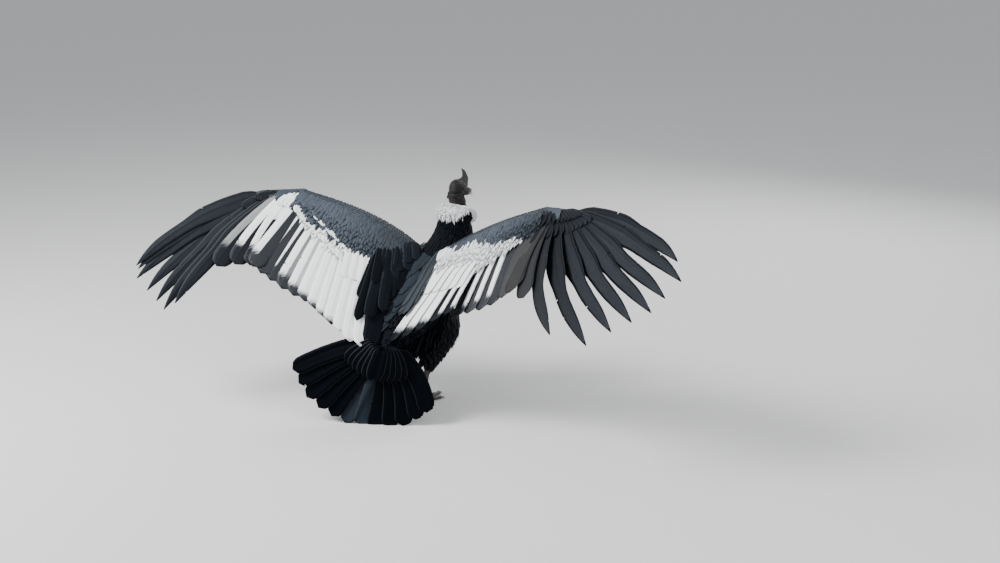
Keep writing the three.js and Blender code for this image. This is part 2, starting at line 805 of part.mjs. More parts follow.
function handFeathers(pose, frame) {
  const handWay = frame.way(pose.handFan, pose.handDroop);
  const normal = frame.n;
  const onHand = (distance, back, lift) => moved(pose.wrist, handWay, distance)
    .addScaledVector(frame.c, back)
    .addScaledVector(frame.n, lift);
  const tipOf = (t, fan, droop) => moved(pose.wrist, frame.way(fan, droop), run(pose.reach, t));
  const made = [];
  span(primaries.count).forEach((t, i) => {
    const fan = run(pose.fan, t);
    const root = onHand(lerp(primaries.rootFrom, wing.hand, t), primaries.back, 0);
    const tip = tipOf(t, fan, run(pose.droop, t));
    const length = root.distanceTo(tip);
    made.push(vane({
      root, tip, normal, outer: frame.outerOf(fan), width: primaries.width,
      shape: i >= primaries.count - pose.fingers ? shapes.finger : shapes.flight,
      bow: run(pose.bow, t) * length, sag: primaries.sag * length,
    }));
  });
  span(primaryCoverts.count).forEach((t) => {
    const fan = run(pose.fan, t) + primaryCoverts.fanShift;
    const from = lerp(primaryCoverts.rootFrom, wing.hand - primaryCoverts.rootEnd, t);
    const root = onHand(from, 0, primaryCoverts.lift);
    const target = tipOf(t, fan, run(pose.droop, t) * primaryCoverts.droopShare);
    const length = primaryCoverts.length * (1 - primaryCoverts.shorter * t);
    const tip = moved(root, target.sub(root).normalize(), length)
      .addScaledVector(normal, primaryCoverts.rise);
    made.push(vane({
      root, tip, normal, outer: frame.outerOf(fan), width: primaryCoverts.width, shape: shapes.small,
    }));
  });
  span(alula.count).forEach((t) => {
    const fan = pose.handFan + alula.fanShift - alula.fanStep * t;
    const root = onHand(lerp(alula.rootFrom, alula.rootTo, t), between(alula.back, t), alula.lift);
    const ahead = frame.way(fan, pose.handDroop - alula.rise);
    const tip = moved(root, ahead, alula.length * (1 - alula.shorter * t));
    made.push(vane({
      root, tip, normal, outer: frame.outerOf(fan), width: alula.width, shape: shapes.covert,
    }));
  });
  return made;
}

function forearmFeathers(pose, frame) {
  const made = [];
  const row = (spec, count, shape, lengthOf) => span(count).forEach((t) => {
    const fan = run(pose.secondaryFan, t) + spec.fanShift;
    const droop = run(pose.secondaryDroop, t);
    const length = lengthOf(t);
    const root = pose.wrist.clone().lerp(frame.elbow, lerp(onUlna.from, onUlna.to, t))
      .addScaledVector(frame.n, spec.lift)
      .addScaledVector(frame.c, spec.back);
    const tip = moved(root, frame.way(fan, droop), length).addScaledVector(frame.n, spec.rise);
    made.push(vane({
      root, tip, normal: frame.n, outer: frame.outerOf(fan), width: spec.width, shape,
      sag: spec.sag * length,
    }));
  });
  row(secondaries, pose.secondaries, shapes.flight, (t) => run(pose.secondaryLength, t));
  row(greaterCoverts, greaterCoverts.count, shapes.covert, () => greaterCoverts.length);
  row(medianCoverts, medianCoverts.count, shapes.small, () => medianCoverts.length);
  return made;
}

function armFeathers(pose, frame) {
  const made = [];
  const row = (spec, count, from, to, fans, lengths) => span(count).forEach((t) => {
    const fan = between(fans, t);
    const root = frame.elbow.clone().lerp(pose.shoulder, lerp(from, to, t))
      .addScaledVector(frame.n, between(spec.lift, t))
      .addScaledVector(frame.c, spec.back);
    const tip = moved(root, frame.way(fan, -spec.rise), run(lengths, t));
    made.push(vane({
      root, tip, normal: frame.n, outer: frame.outerOf(fan), width: spec.width, shape: shapes.flight,
      sag: spec.sag,
    }));
  });
  const { scapularsFrom, scapularsTo } = pose;
  row(tertials, pose.tertials, tertials.from, tertials.to, pose.tertialFan, pose.tertialLength);
  row(scapulars, pose.scapulars, scapularsFrom, scapularsTo, pose.scapularFan, scapulars.length);
  return made;
}

// The wing is parted at the wrist and at the elbow, along the lie of the feathers there.
function wingParts(name) {
  const pose = poses[name];
  const frame = wingFrame(pose);
  const wristCut = frame.way(pose.splitFan - 90, 0);
  const elbowCut = frame.way(pose.elbowFan - 90, 0);
  const outside = (solid, cut, point) => keep(solid, cut, moved(point, cut, gap / 2));
  const inside = (solid, cut, point) => keep(solid, cut.clone().negate(), moved(point, cut, -gap / 2));
  const arm = armBody(pose, frame);
  const hand = outside(join([handBody(pose, frame), ...handFeathers(pose, frame)]), wristCut, pose.wrist);
  const pastElbow = outside(join([arm, ...forearmFeathers(pose, frame)]), elbowCut, frame.elbow);
  const forearm = inside(pastElbow, wristCut, pose.wrist);
  const upper = inside(join([arm, ...armFeathers(pose, frame)]), elbowCut, frame.elbow);
  const split = keep(upper, mantleSide.clone().multiplyScalar(pose.sign), wingEdge[name]);
  return {
    hand: largest(hand),
    forearm: largest(forearm),
    arm: largest(split.subtract(join([torsoClear, tailBase(tail.baseRoom)]))),
  };
}

// Tail
const tailNormal = cross(tail.across, tail.down).normalize();
const tailAcross = tail.across.clone().normalize();
const tailDown = tail.down.clone().normalize();
const onTail = (side, low, high) => tail.root.clone()
  .addScaledVector(tailAcross, side)
  .addScaledVector(tailDown, low)
  .addScaledVector(tailNormal, high);

const tailBase = (room) => loft(tail.baseLow.map((low, i) => {
  const ends = [low - room, low, low, low + room];
  const centre = onTail(0, ends[i], 0);
  return ring(centre, tailAcross, tailNormal, tail.baseWide[i] + room, tail.baseDeep[i] + room, 14);
}));

function tailSolid() {
  const made = [tailBase(0)];
  const wayOf = (fan) => tailDown.clone().multiplyScalar(Math.cos(rad(fan)))
    .addScaledVector(tailAcross, Math.sin(rad(fan)));
  const row = (spec, shape) => span(spec.count).forEach((t) => {
    const fan = lerp(-tail.fanLeft, tail.fanRight, t) * spec.spread;
    const centred = 1 - Math.abs(2 * t - 1);
    const length = run(spec.length, t);
    const bow = (t < 0.5 ? tail.bowLeft : tail.bowRight) * (1 - centred) * length;
    const sideways = lerp(-0.5, 0.5, t) * tail.rootWidth * spec.spread;
    const root = onTail(sideways, tail.rootLow + tail.rootStep * centred, spec.lift + tail.pile * centred);
    const tip = moved(root, wayOf(fan), length).addScaledVector(tailNormal, spec.rise);
    const outer = tailAcross.clone().multiplyScalar(Math.sign(fan) || 1);
    made.push(vane({
      root, tip, normal: tailNormal, outer, width: spec.width, shape, bow, sag: tail.sag, tilt: tail.tilt,
    }));
  });
  row(tail.feathers, shapes.flight);
  row(tail.coverts, shapes.covert);
  const aboveFloor = keep(join(made), up, v(0, 0, 0));
  return largest(aboveFloor.subtract(torsoClear));
}

// Legs
function thighSolid(sign) {
  const curve = new THREE.CatmullRomCurve3([leg.hip, leg.knee, leg.ankle].map((p) => mirrored(p, sign)));
  const rings = span(7).map((t) => {
    const ahead = t === 1 ? v(0, 0, -1) : curve.getTangentAt(t);
    const side = rightwards.clone().projectOnPlane(ahead).normalize();
    const [wide, deep] = [run(leg.thighWide, t), run(leg.thighDeep, t)];
    return ring(curve.getPointAt(t), side, cross(ahead, side), wide, deep, 14);
  });
  return largest(loft(rings).subtract(torsoClear));
}

const shankSolid = (sign) => loft(span(7).map((t) => {
  const x = sign * lerp(leg.ankle.x, leg.foot.x, t);
  const y = lerp(leg.ankle.y, leg.foot.y - leg.shankBack, t ** 0.9);
  const z = lerp(leg.ankle.z - gap, leg.shankFoot, t);
  const ankle = (leg.ankleRadius - leg.shankRadius) * Math.exp(-((t * leg.ankleFade) ** 2));
  const radius = leg.shankRadius + ankle + leg.shankFlare * t ** 3;
  return ring(v(x, y, z), rightwards, v(0, 1, 0), radius, radius * leg.shankDepth, 12);
}));

const toeWay = (sign, toe) => v(sign * Math.sin(rad(toe.turn)), Math.cos(rad(toe.turn)), 0);
const toeStart = (sign) => v(sign * leg.foot.x, leg.foot.y, 0);

function toeSolid(sign, toe) {
  const way = toeWay(sign, toe);
  const side = v(way.y, -way.x, 0);
  return loft(span(6).map((t, i) => {
    const pad = toe.radius * (i % 2 ? toeForm.crease : 1);
    const high = between(toeForm.high, t) * pad;
    const centre = moved(toeStart(sign), way, toe.length * t).setZ(high * toeForm.sink);
    return ring(centre, side, up, between(toeForm.wide, t) * pad, high, toeForm.sides);
  }));
}

function footSolid(sign) {
  const centre = v(sign * leg.foot.x, leg.foot.y - leg.palmBack, leg.palmHeight);
  const palm = ellipsoid(centre, leg.palm, [rightwards, v(0, 1, 0), up], 10);
  const standing = keep(join([palm, ...toes.map((toe) => toeSolid(sign, toe))]), up, v(0, 0, 0));
  return largest(keep(standing, v(0, 0, -1), v(0, 0, leg.shankFoot - gap)));
}

function clawSolid(sign, toe) {
  const way = toeWay(sign, toe);
  const side = v(way.y, -way.x, 0);
  const base = moved(toeStart(sign), way, toe.length + gap);
  const radius = toe.radius * clawForm.radius;
  const rings = span(5).map((t) => {
    const high = radius * (1 - clawForm.taper * t ** 1.3);
    const z = lerp(radius * clawForm.base, high + clawForm.clear, t ** 1.6);
    const ahead = moved(way, up, -clawForm.bend * t).normalize();
    const centre = moved(base, way, toe.claw * t).setZ(z);
    return ring(centre, side, cross(side, ahead), high * clawForm.wide, high, clawForm.sides);
  });
  return keep(loft(rings), up, v(0, 0, 0));
}

// The whole bird
const bird = new THREE.Group();
bird.add(mesh("torso", torsoSolid(), "black"));
bird.add(mesh("ruff", ruffSolid(), "white"));
const { head: headSolid, neck: neckPiece, eyes } = headParts();
bird.add(mesh("neck", neckPiece, "skin"));
bird.add(mesh("head", headSolid, "skin"));
bird.add(mesh("comb", combSolid(), "comb"));
bird.add(mesh("bill_upper", upperBill(), "ivory"));
bird.add(mesh("bill_lower", lowerBill(), "ivory"));
for (const side of ["right", "left"]) {
  const { sign } = poses[side];
  const parts = wingParts(side);
  bird.add(mesh(`${side}_eye`, eyes[side].ball, "eye"));
  bird.add(mesh(`${side}_wing_arm`, parts.arm, "slate"));
  bird.add(mesh(`${side}_wing_forearm`, parts.forearm, "white"));
  bird.add(mesh(`${side}_wing_hand`, parts.hand, "black"));
  bird.add(mesh(`${side}_thigh`, thighSolid(sign), "black"));
  bird.add(mesh(`${side}_shank`, shankSolid(sign), "leg"));
  bird.add(mesh(`${side}_foot`, footSolid(sign), "leg"));
  for (const toe of toes) bird.add(mesh(`${side}_${toe.name}_claw`, clawSolid(sign, toe), "claw"));
}
bird.add(mesh("tail", tailSolid(), "black"));

// The part's own origin is under the middle of its box, on the floor.
const box = new THREE.Box3().setFromObject(bird);
const middle = box.getCenter(v(0, 0, 0));
bird.position.set(-middle.x, -middle.y, -box.min.z);
const condor = new THREE.Group();
condor.add(bird);

export default condor;
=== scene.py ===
import bpy, bmesh, math
import numpy as np
from mathutils import Matrix, Vector


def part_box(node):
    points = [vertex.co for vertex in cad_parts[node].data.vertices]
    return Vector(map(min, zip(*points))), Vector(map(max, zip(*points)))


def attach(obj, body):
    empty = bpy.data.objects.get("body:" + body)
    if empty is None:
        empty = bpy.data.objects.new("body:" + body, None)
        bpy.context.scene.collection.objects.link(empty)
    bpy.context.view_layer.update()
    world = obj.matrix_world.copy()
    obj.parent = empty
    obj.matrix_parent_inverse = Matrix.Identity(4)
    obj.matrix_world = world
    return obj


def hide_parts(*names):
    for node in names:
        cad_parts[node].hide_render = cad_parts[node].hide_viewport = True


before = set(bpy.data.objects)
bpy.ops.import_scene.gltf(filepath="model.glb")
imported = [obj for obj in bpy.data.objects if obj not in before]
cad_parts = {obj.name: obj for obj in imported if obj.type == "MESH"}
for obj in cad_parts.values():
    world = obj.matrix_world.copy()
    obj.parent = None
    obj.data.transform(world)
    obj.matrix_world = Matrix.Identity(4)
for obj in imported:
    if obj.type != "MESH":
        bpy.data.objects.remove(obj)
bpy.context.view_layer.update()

# Lengths are metres in the bird's own place: X to its right, Y the way it faces, Z up from the floor.
# The loaded frame holds the bird moved along the floor, and its eyes tell by how much.


def vec(*xyz):
    return np.array(xyz, float)


def unit(a):
    a = np.asarray(a, float)
    return a / np.maximum(np.linalg.norm(a, axis=-1, keepdims=True), 1e-9)


def dot(a, b):
    return np.sum(np.asarray(a) * np.asarray(b), axis=-1, keepdims=True)


def square(a, along):  # the part of a that is square to along
    along = unit(along)
    return unit(a - along * dot(a, along))


def run(values, t):  # a smooth curve through evenly spaced values
    values = np.asarray(values, float)
    last = len(values) - 1
    x = np.clip(np.asarray(t, float), 0, 1) * last
    i = np.minimum(np.floor(x).astype(int), last - 1)
    f = x - i
    if values.ndim > 1:
        f = f[..., None]
    a, b, c, d = (values[np.clip(i + k, 0, last)] for k in (-1, 0, 1, 2))
    return b + 0.5 * f * (c - a + f * (2 * a - 5 * b + 4 * c - d + f * (3 * (b - c) + d - a)))


def mix(a, b, t):
    return a + (b - a) * t


def ease(low, high, x):
    t = np.clip((np.asarray(x, float) - low) / (high - low), 0, 1)
    return t * t * (3 - 2 * t)


ripples = {"layers": 4, "bump": 2.4, "swell": 4, "slant": 0.7, "swellShare": 0.3, "range": 1.6}


def grain(points, size, seed=0):  # smooth noise from -1 to 1
    total = 0
    for k in range(ripples["layers"]):
        turn = np.random.default_rng(seed * 10 + k).normal(size=(3, 3))
        bumps = np.prod(np.sin(points @ turn * ripples["bump"] / size + k), axis=-1)
        across = points @ unit(turn[0]) + points @ unit(turn[1]) * ripples["slant"]
        total = total + bumps + np.sin(across * ripples["swell"] / size + k) * ripples["swellShare"]
    return total / ripples["range"]


head = {
    "centre": vec(0.052, 0.324, 0.924), "turn": 3, "pitch": -14, "roll": -1,
    "y": [-0.056, -0.051, -0.036, -0.014, 0.008, 0.030, 0.048, 0.062, 0.074],
    "z": [-0.006, -0.006, -0.003, 0, 0.002, -0.001, -0.005, -0.008, -0.009],
    "wide": [0.010, 0.020, 0.029, 0.032, 0.031, 0.0255, 0.019, 0.015, 0.0125],
    "high": [0.014, 0.027, 0.038, 0.038, 0.034, 0.029, 0.0245, 0.021, 0.019],
    "eye": vec(0.0195, 0.020, 0.008), "eyeRadius": 0.0086,
}
headTurn = np.array(
    Matrix.Rotation(math.radians(-head["turn"]), 3, "Z")
    @ Matrix.Rotation(math.radians(head["pitch"]), 3, "X")
    @ Matrix.Rotation(math.radians(head["roll"]), 3, "Y"))


def inHead(point):
    return head["centre"] + np.asarray(point, float) @ headTurn.T


eyeCorners = [np.array(corner) for node in ("right_eye", "left_eye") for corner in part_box(node)]
eyesSeen = sum(eyeCorners, vec(0, 0, 0)) / len(eyeCorners)
eyesOwn = (inHead(head["eye"]) + inHead(head["eye"] * vec(-1, 1, 1))) / 2
shift = (eyesSeen - eyesOwn) * vec(1, 1, 0)
print("moved by", shift.round(4), "height apart", round(float((eyesSeen - eyesOwn)[2]), 5))


# Making meshes
def settle(piece, slot, *nodes):  # rides on the bird, and stands for the nodes named
    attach(piece, "root")
    if nodes:
        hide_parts(*nodes)


def valuesOf(piece, key):
    found = np.empty(len(piece.data.vertices) * 3)
    piece.data.vertices.foreach_get(key, found)
    return found.reshape(-1, 3)


def pointsOf(piece):
    return valuesOf(piece, "co") - shift


def normalsOf(piece):
    return valuesOf(piece, "normal")


def movePoints(piece, points):
    piece.data.vertices.foreach_set("co", (points + shift).ravel())
    piece.data.update()


def setMap(mesh, name, uv):  # a map with one place for each point
    corner = np.empty(len(mesh.loops), int)
    mesh.loops.foreach_get("vertex_index", corner)
    mesh.uv_layers.new(name=name).data.foreach_set("uv", uv[corner].ravel())


def setTone(mesh, tones):
    colours = np.concatenate([tones, np.ones((len(tones), 1))], 1)
    mesh.attributes.new("tone", "FLOAT_COLOR", "POINT").data.foreach_set("color", colours.ravel())


def loftInto(made, rings):  # a closed skin through rings of points
    loops = []
    for ring in rings:
        corners = [made.verts.new(Vector(p + shift)) for p in ring]
        loops.append([made.edges.new((a, b)) for a, b in zip(corners, corners[1:] + corners[:1])])
    for first, second in zip(loops, loops[1:]):
        bmesh.ops.bridge_loops(made, edges=first + second)
    for edges in (loops[0], loops[-1]):
        bmesh.ops.edgeloop_fill(made, edges=edges)


def ringAt(centre, side, high, halfWide, halfHigh, count, shape=lambda c, s: (c, s)):
    angle = np.linspace(0, 2 * math.pi, count, endpoint=False)
    c, s = shape(np.cos(angle), np.sin(angle))
    return centre + np.outer(halfWide * c, side) + np.outer(halfHigh * s, high)


def meshOf(name, made):
    mesh = bpy.data.meshes.new(name)
    made.to_mesh(mesh)
    made.free()
    return mesh


def linked(name, mesh, material):  # an object of the mesh, smooth all over
    mesh.materials.append(material)
    mesh.polygons.foreach_set("use_smooth", [True] * len(mesh.polygons))
    piece = bpy.data.objects.new(name, mesh)
    bpy.context.scene.collection.objects.link(piece)
    return piece


def lofted(name, groups, material):  # one piece of several closed lofts
    made = bmesh.new()
    for rings in groups:
        loftInto(made, rings)
    bmesh.ops.recalc_face_normals(made, faces=made.faces)
    return linked(name, meshOf(name, made), material)


def remeshed(piece, voxel, smooth):  # its bodies grown together into one even skin
    bpy.context.view_layer.objects.active = piece
    joined = piece.modifiers.new("joined", "REMESH")
    joined.mode = "VOXEL"
    joined.voxel_size = voxel
    eased = piece.modifiers.new("eased", "SMOOTH")
    eased.iterations = smooth
    eased.factor = 0.5
    for step in ("joined", "eased"):
        bpy.ops.object.modifier_apply(modifier=step)
    piece.data.polygons.foreach_set("use_smooth", [True] * len(piece.data.polygons))


# Finishes
def node(tree, kind, ins=None, **settings):
    made = tree.nodes.new("ShaderNode" + kind)
    for key, value in settings.items():
        setattr(made, key, value)
    for key, value in (ins or {}).items():
        if isinstance(value, bpy.types.NodeSocket):
            tree.links.new(value, made.inputs[key])
        else:
            made.inputs[key].default_value = value
    return made


def calc(tree, kind, a, b=0.0, clamp=False):
    return node(tree, "Math", {0: a, 1: b}, operation=kind, use_clamp=clamp).outputs[0]


def times(tree, a, b, clamp=False):
    return calc(tree, "MULTIPLY", a, b, clamp)


def plus(tree, a, b, clamp=False):
    return calc(tree, "ADD", a, b, clamp)


def minus(tree, a, b, clamp=False):
    return calc(tree, "SUBTRACT", a, b, clamp)


def blend(tree, share, a, b):
    return node(tree, "Mix", {0: share, 6: a, 7: b}, data_type="RGBA").outputs[2]


def scaled(tree, colour, share):
    return node(tree, "VectorMath", {0: colour, "Scale": share}, operation="SCALE").outputs[0]


def noise(tree, place, scale, detail=4.0):
    return node(tree, "TexNoise", {"Vector": place, "Scale": scale, "Detail": detail}).outputs[0]


def attribute(tree, name, kind="Vector"):
    return node(tree, "Attribute", attribute_name=name).outputs[kind]


def fromMap(tree, name):
    return node(tree, "UVMap", uv_map=name).outputs[0]


def parts(tree, value):  # its x, y and z
    return node(tree, "SeparateXYZ", {0: value}).outputs


def finish(name, rough, sockets=None):
    material = bpy.data.materials.new(name)
    material.use_nodes = True
    shader = material.node_tree.nodes["Principled BSDF"]
    for key, value in {"Roughness": rough, **(sockets or {})}.items():
        shader.inputs[key].default_value = value
    return material, material.node_tree, shader


def feed(tree, shader, colour, height=None, strength=0.0, distance=0.0):
    tree.links.new(colour, shader.inputs["Base Color"])
    if height is not None:
        relief = node(tree, "Bump", {"Height": height, "Strength": strength, "Distance": distance})
        tree.links.new(relief.outputs[0], shader.inputs["Normal"])


vane = {
    "slant": 1.3, "barbs": 3600.0, "streaks": 420.0, "streakAside": 30.0, "shaftHalf": 0.0016, "wander": 0.16,
    "webShift": 0.02, "webSharp": 14.0, "tipSharp": 16.0, "shaftInWhite": 0.55, "frontEdge": 0.58,
    "rearEdge": -1.18, "tipEdge": 0.985, "shaftColour": (0.05, 0.046, 0.042, 1),
    "edgeColour": (0.10, 0.11, 0.12, 1), "chalk": (0.90, 0.91, 0.915), "shade": (0.72, 0.56),
    "chalkShade": (0.82, 0.3), "rough": 0.36, "streakRough": 0.22, "whiteRough": 0.25, "barbHeight": 0.25,
    "streakHeight": 1.2,
}


def plumageGroup():  # the colour and relief of a feather, from its own map and marks
    tree = bpy.data.node_groups.new("plumage", "ShaderNodeTree")
    tree.interface.new_socket("Colour", in_out="OUTPUT", socket_type="NodeSocketColor")
    for name in ("Rough", "Height"):
        tree.interface.new_socket(name, in_out="OUTPUT", socket_type="NodeSocketFloat")
    tree.interface.new_socket("Shaft", in_out="INPUT", socket_type="NodeSocketFloat")
    paleShaft = tree.nodes.new("NodeGroupInput").outputs["Shaft"]
    out = tree.nodes.new("NodeGroupOutput")
    u, v, _ = parts(tree, fromMap(tree, "vane"))
    length, half, seed = parts(tree, attribute(tree, "quill"))
    webMark, tipMark, edgeMark = parts(tree, attribute(tree, "mark"))
    # Barbs slant from the shaft to the tip, a little under 2 mm apart
    aside = calc(tree, "ABSOLUTE", times(tree, u, half))
    slant = minus(tree, times(tree, v, length), times(tree, aside, vane["slant"]))
    barbs = calc(tree, "SINE", times(tree, slant, vane["barbs"]))
    streakPlace = node(tree, "CombineXYZ", {
        0: times(tree, slant, vane["streaks"]), 1: times(tree, aside, vane["streakAside"]), 2: seed}).outputs[0]
    streak = noise(tree, streakPlace, 1.0, 2.0)
    shaft = minus(tree, 1.0, calc(tree, "DIVIDE", aside, vane["shaftHalf"]), clamp=True)
    # Marks: a white outer web, a dark tip, and a pale edge, which on the right scapulars and the mantle is
    # painted sheen
    wave = times(tree, minus(tree, streak, 0.5), vane["wander"])
    outer = times(tree, plus(tree, plus(tree, u, wave), vane["webShift"]), vane["webSharp"], clamp=True)
    outer = times(tree, outer, calc(tree, "MINIMUM", webMark, 1.0))
    white = calc(tree, "MAXIMUM", outer, minus(tree, webMark, 1.0), clamp=True)
    beforeTip = times(tree, minus(tree, plus(tree, tipMark, wave), v), vane["tipSharp"], clamp=True)
    white = times(tree, white, beforeTip)
    white = times(tree, white, minus(tree, 1.0, times(tree, shaft, vane["shaftInWhite"])))
    edge = plus(tree, calc(tree, "GREATER_THAN", u, vane["frontEdge"]),
                calc(tree, "LESS_THAN", u, vane["rearEdge"]), clamp=True)
    edge = calc(tree, "MAXIMUM", edge, calc(tree, "GREATER_THAN", v, vane["tipEdge"]))
    dull, more = vane["shade"]
    base = scaled(tree, attribute(tree, "tone", "Color"), plus(tree, dull, times(tree, streak, more)))
    base = blend(tree, times(tree, shaft, paleShaft), base, vane["shaftColour"])
    base = blend(tree, times(tree, edge, edgeMark), base, vane["edgeColour"])
    dull, more = vane["chalkShade"]
    chalk = scaled(tree, vane["chalk"], plus(tree, dull, times(tree, streak, more)))
    tree.links.new(blend(tree, white, base, chalk), out.inputs["Colour"])
    rough = plus(tree, times(tree, streak, vane["streakRough"]), times(tree, white, vane["whiteRough"]))
    tree.links.new(plus(tree, vane["rough"], rough), out.inputs["Rough"])
    height = plus(tree, times(tree, barbs, vane["barbHeight"]), times(tree, streak, vane["streakHeight"]))
    tree.links.new(height, out.inputs["Height"])
    return tree


plumage = plumageGroup()


def featherFinish(name, sheen, paleShaft):
    material, tree, shader = finish(name, 0.6, {
        "Specular Tint": (0.75, 0.85, 1.0, 1), "Specular IOR Level": sheen})
    group = node(tree, "Group", {"Shaft": paleShaft}, node_tree=plumage)
    tree.links.new(group.outputs["Rough"], shader.inputs["Roughness"])
    feed(tree, shader, group.outputs["Colour"], group.outputs["Height"], 0.35, 0.0006)
    return material


def downFinish():
    material, tree, shader = finish("whiteDown", 0.9, {"Specular IOR Level": 0.15})
    fluff = noise(tree, node(tree, "TexCoord").outputs["Object"], 900.0, 3.0)
    shade = plus(tree, 0.86, times(tree, fluff, 0.28))
    feed(tree, shader, scaled(tree, attribute(tree, "tone", "Color"), shade), fluff, 0.5, 0.0008)
    return material


def underFinish():
    material, tree, shader = finish("skinUnderFeathers", 0.85)
    feed(tree, shader, attribute(tree, "tone", "Color"))
    return material


blackFeather = featherFinish("blackFeather", 0.14, 0.15)
jetFeather = featherFinish("jetFeather", 0.03, 0.04)
whiteFeather = featherFinish("whiteFeather", 0.3, 0.25)
whiteDown = downFinish()
skinUnderFeathers = underFinish()

black = (0.0036, 0.0044, 0.0062)
jet = (0.0010, 0.0015, 0.0024)
smoke = (0.0085, 0.0115, 0.0145)
# painted highlight: a lighter blue-black given to the two middle tail feathers, for the light they catch
paintedHighlight = (0.014, 0.019, 0.025)
dusk = (0.020, 0.021, 0.023)
slate = (0.050, 0.062, 0.078)
white = (0.87, 0.88, 0.89)

# Feathers, made many at once: each is a thin closed leaf with a raised shaft down it
leaf = {
    "rise": (0.32, 0.68), "riseTo": 0.16, "narrowing": 0.36, "frontNarrows": (0.42, 0.62),
    "rearNarrows": (0.38, 0.6), "frontEnds": (0.78, 1.02), "point": (0.6, 0.4), "pointShare": 0.97,
    "pointPower": 2.2, "tipLeft": (0.03, 0.97),
    "roundFrom": {"flight": 0.86, "round": 0.62, "small": 0.45, "tuft": 0.3},
    "crowding": 0.9, "notchSpan": (0.3, 0.97), "notchHalf": 0.004, "notchDeep": (0.05, 0.3), "notchFront": 0.4,
    "waviness": 0.008, "wavyFrom": 0.1, "ridge": 0.045, "columns": (-1, -0.6, -0.15, 0.68, 1),
    "shaftTaper": 0.8, "taper": 0.6, "seeds": 50, "shades": (0.85, 1.15), "patch": (0.003, 0.012),
}


def profileOf(name, t):  # the widths of the rear and the front web along a feather
    low, more = leaf["rise"]
    rise = low + more * ease(0, leaf["riseTo"], t)
    if name == "finger":  # both webs narrow in the outer half, and the rear one runs out to a point
        start, span = leaf["point"]
        front = rise * (1 - leaf["narrowing"] * ease(*leaf["frontNarrows"], t))
        rear = rise * (1 - leaf["narrowing"] * ease(*leaf["rearNarrows"], t))
        point = np.clip((t - start) / span, 0, 1) ** leaf["pointPower"]
        return rear * (1 - leaf["pointShare"] * point), front * np.sqrt(
            np.clip(1 - ease(*leaf["frontEnds"], t), 0, 1))
    start = leaf["roundFrom"][name]
    end = np.sqrt(np.clip(1 - np.clip((t - start) / (1 - start), 0, 1) ** 2, 0, 1))
    low, more = leaf["tipLeft"]
    whole = rise * (low + more * end)
    return whole, whole


def loosened(rng, root, tip, normal, outer, width, loose):  # no two feathers quite alike
    along = tip - root
    reach = np.linalg.norm(along, axis=1, keepdims=True)
    draw = lambda: rng.normal(size=(len(root), 1))
    swing = square(outer, along) * draw() + normal * draw() * 0.4
    tip = tip + swing * reach * loose + unit(along) * reach * loose * draw() * 0.8
    return tip, width * rng.uniform(1 - 2 * loose, 1 + 2 * loose, len(root))


def leafFaces(n, m):  # the quads of the upper side, then those of the under side, which shares its rim
    top = np.arange(n * m).reshape(n, m)
    under = top.copy()
    under[1:-1, 1:-1] = n * m + np.arange((n - 2) * (m - 2)).reshape(n - 2, m - 2)
    quad = lambda g: np.stack([g[:-1, :-1], g[:-1, 1:], g[1:, 1:], g[1:, :-1]], -1).reshape(-1, 4)
    return np.concatenate([quad(top), quad(under)[:, ::-1]])


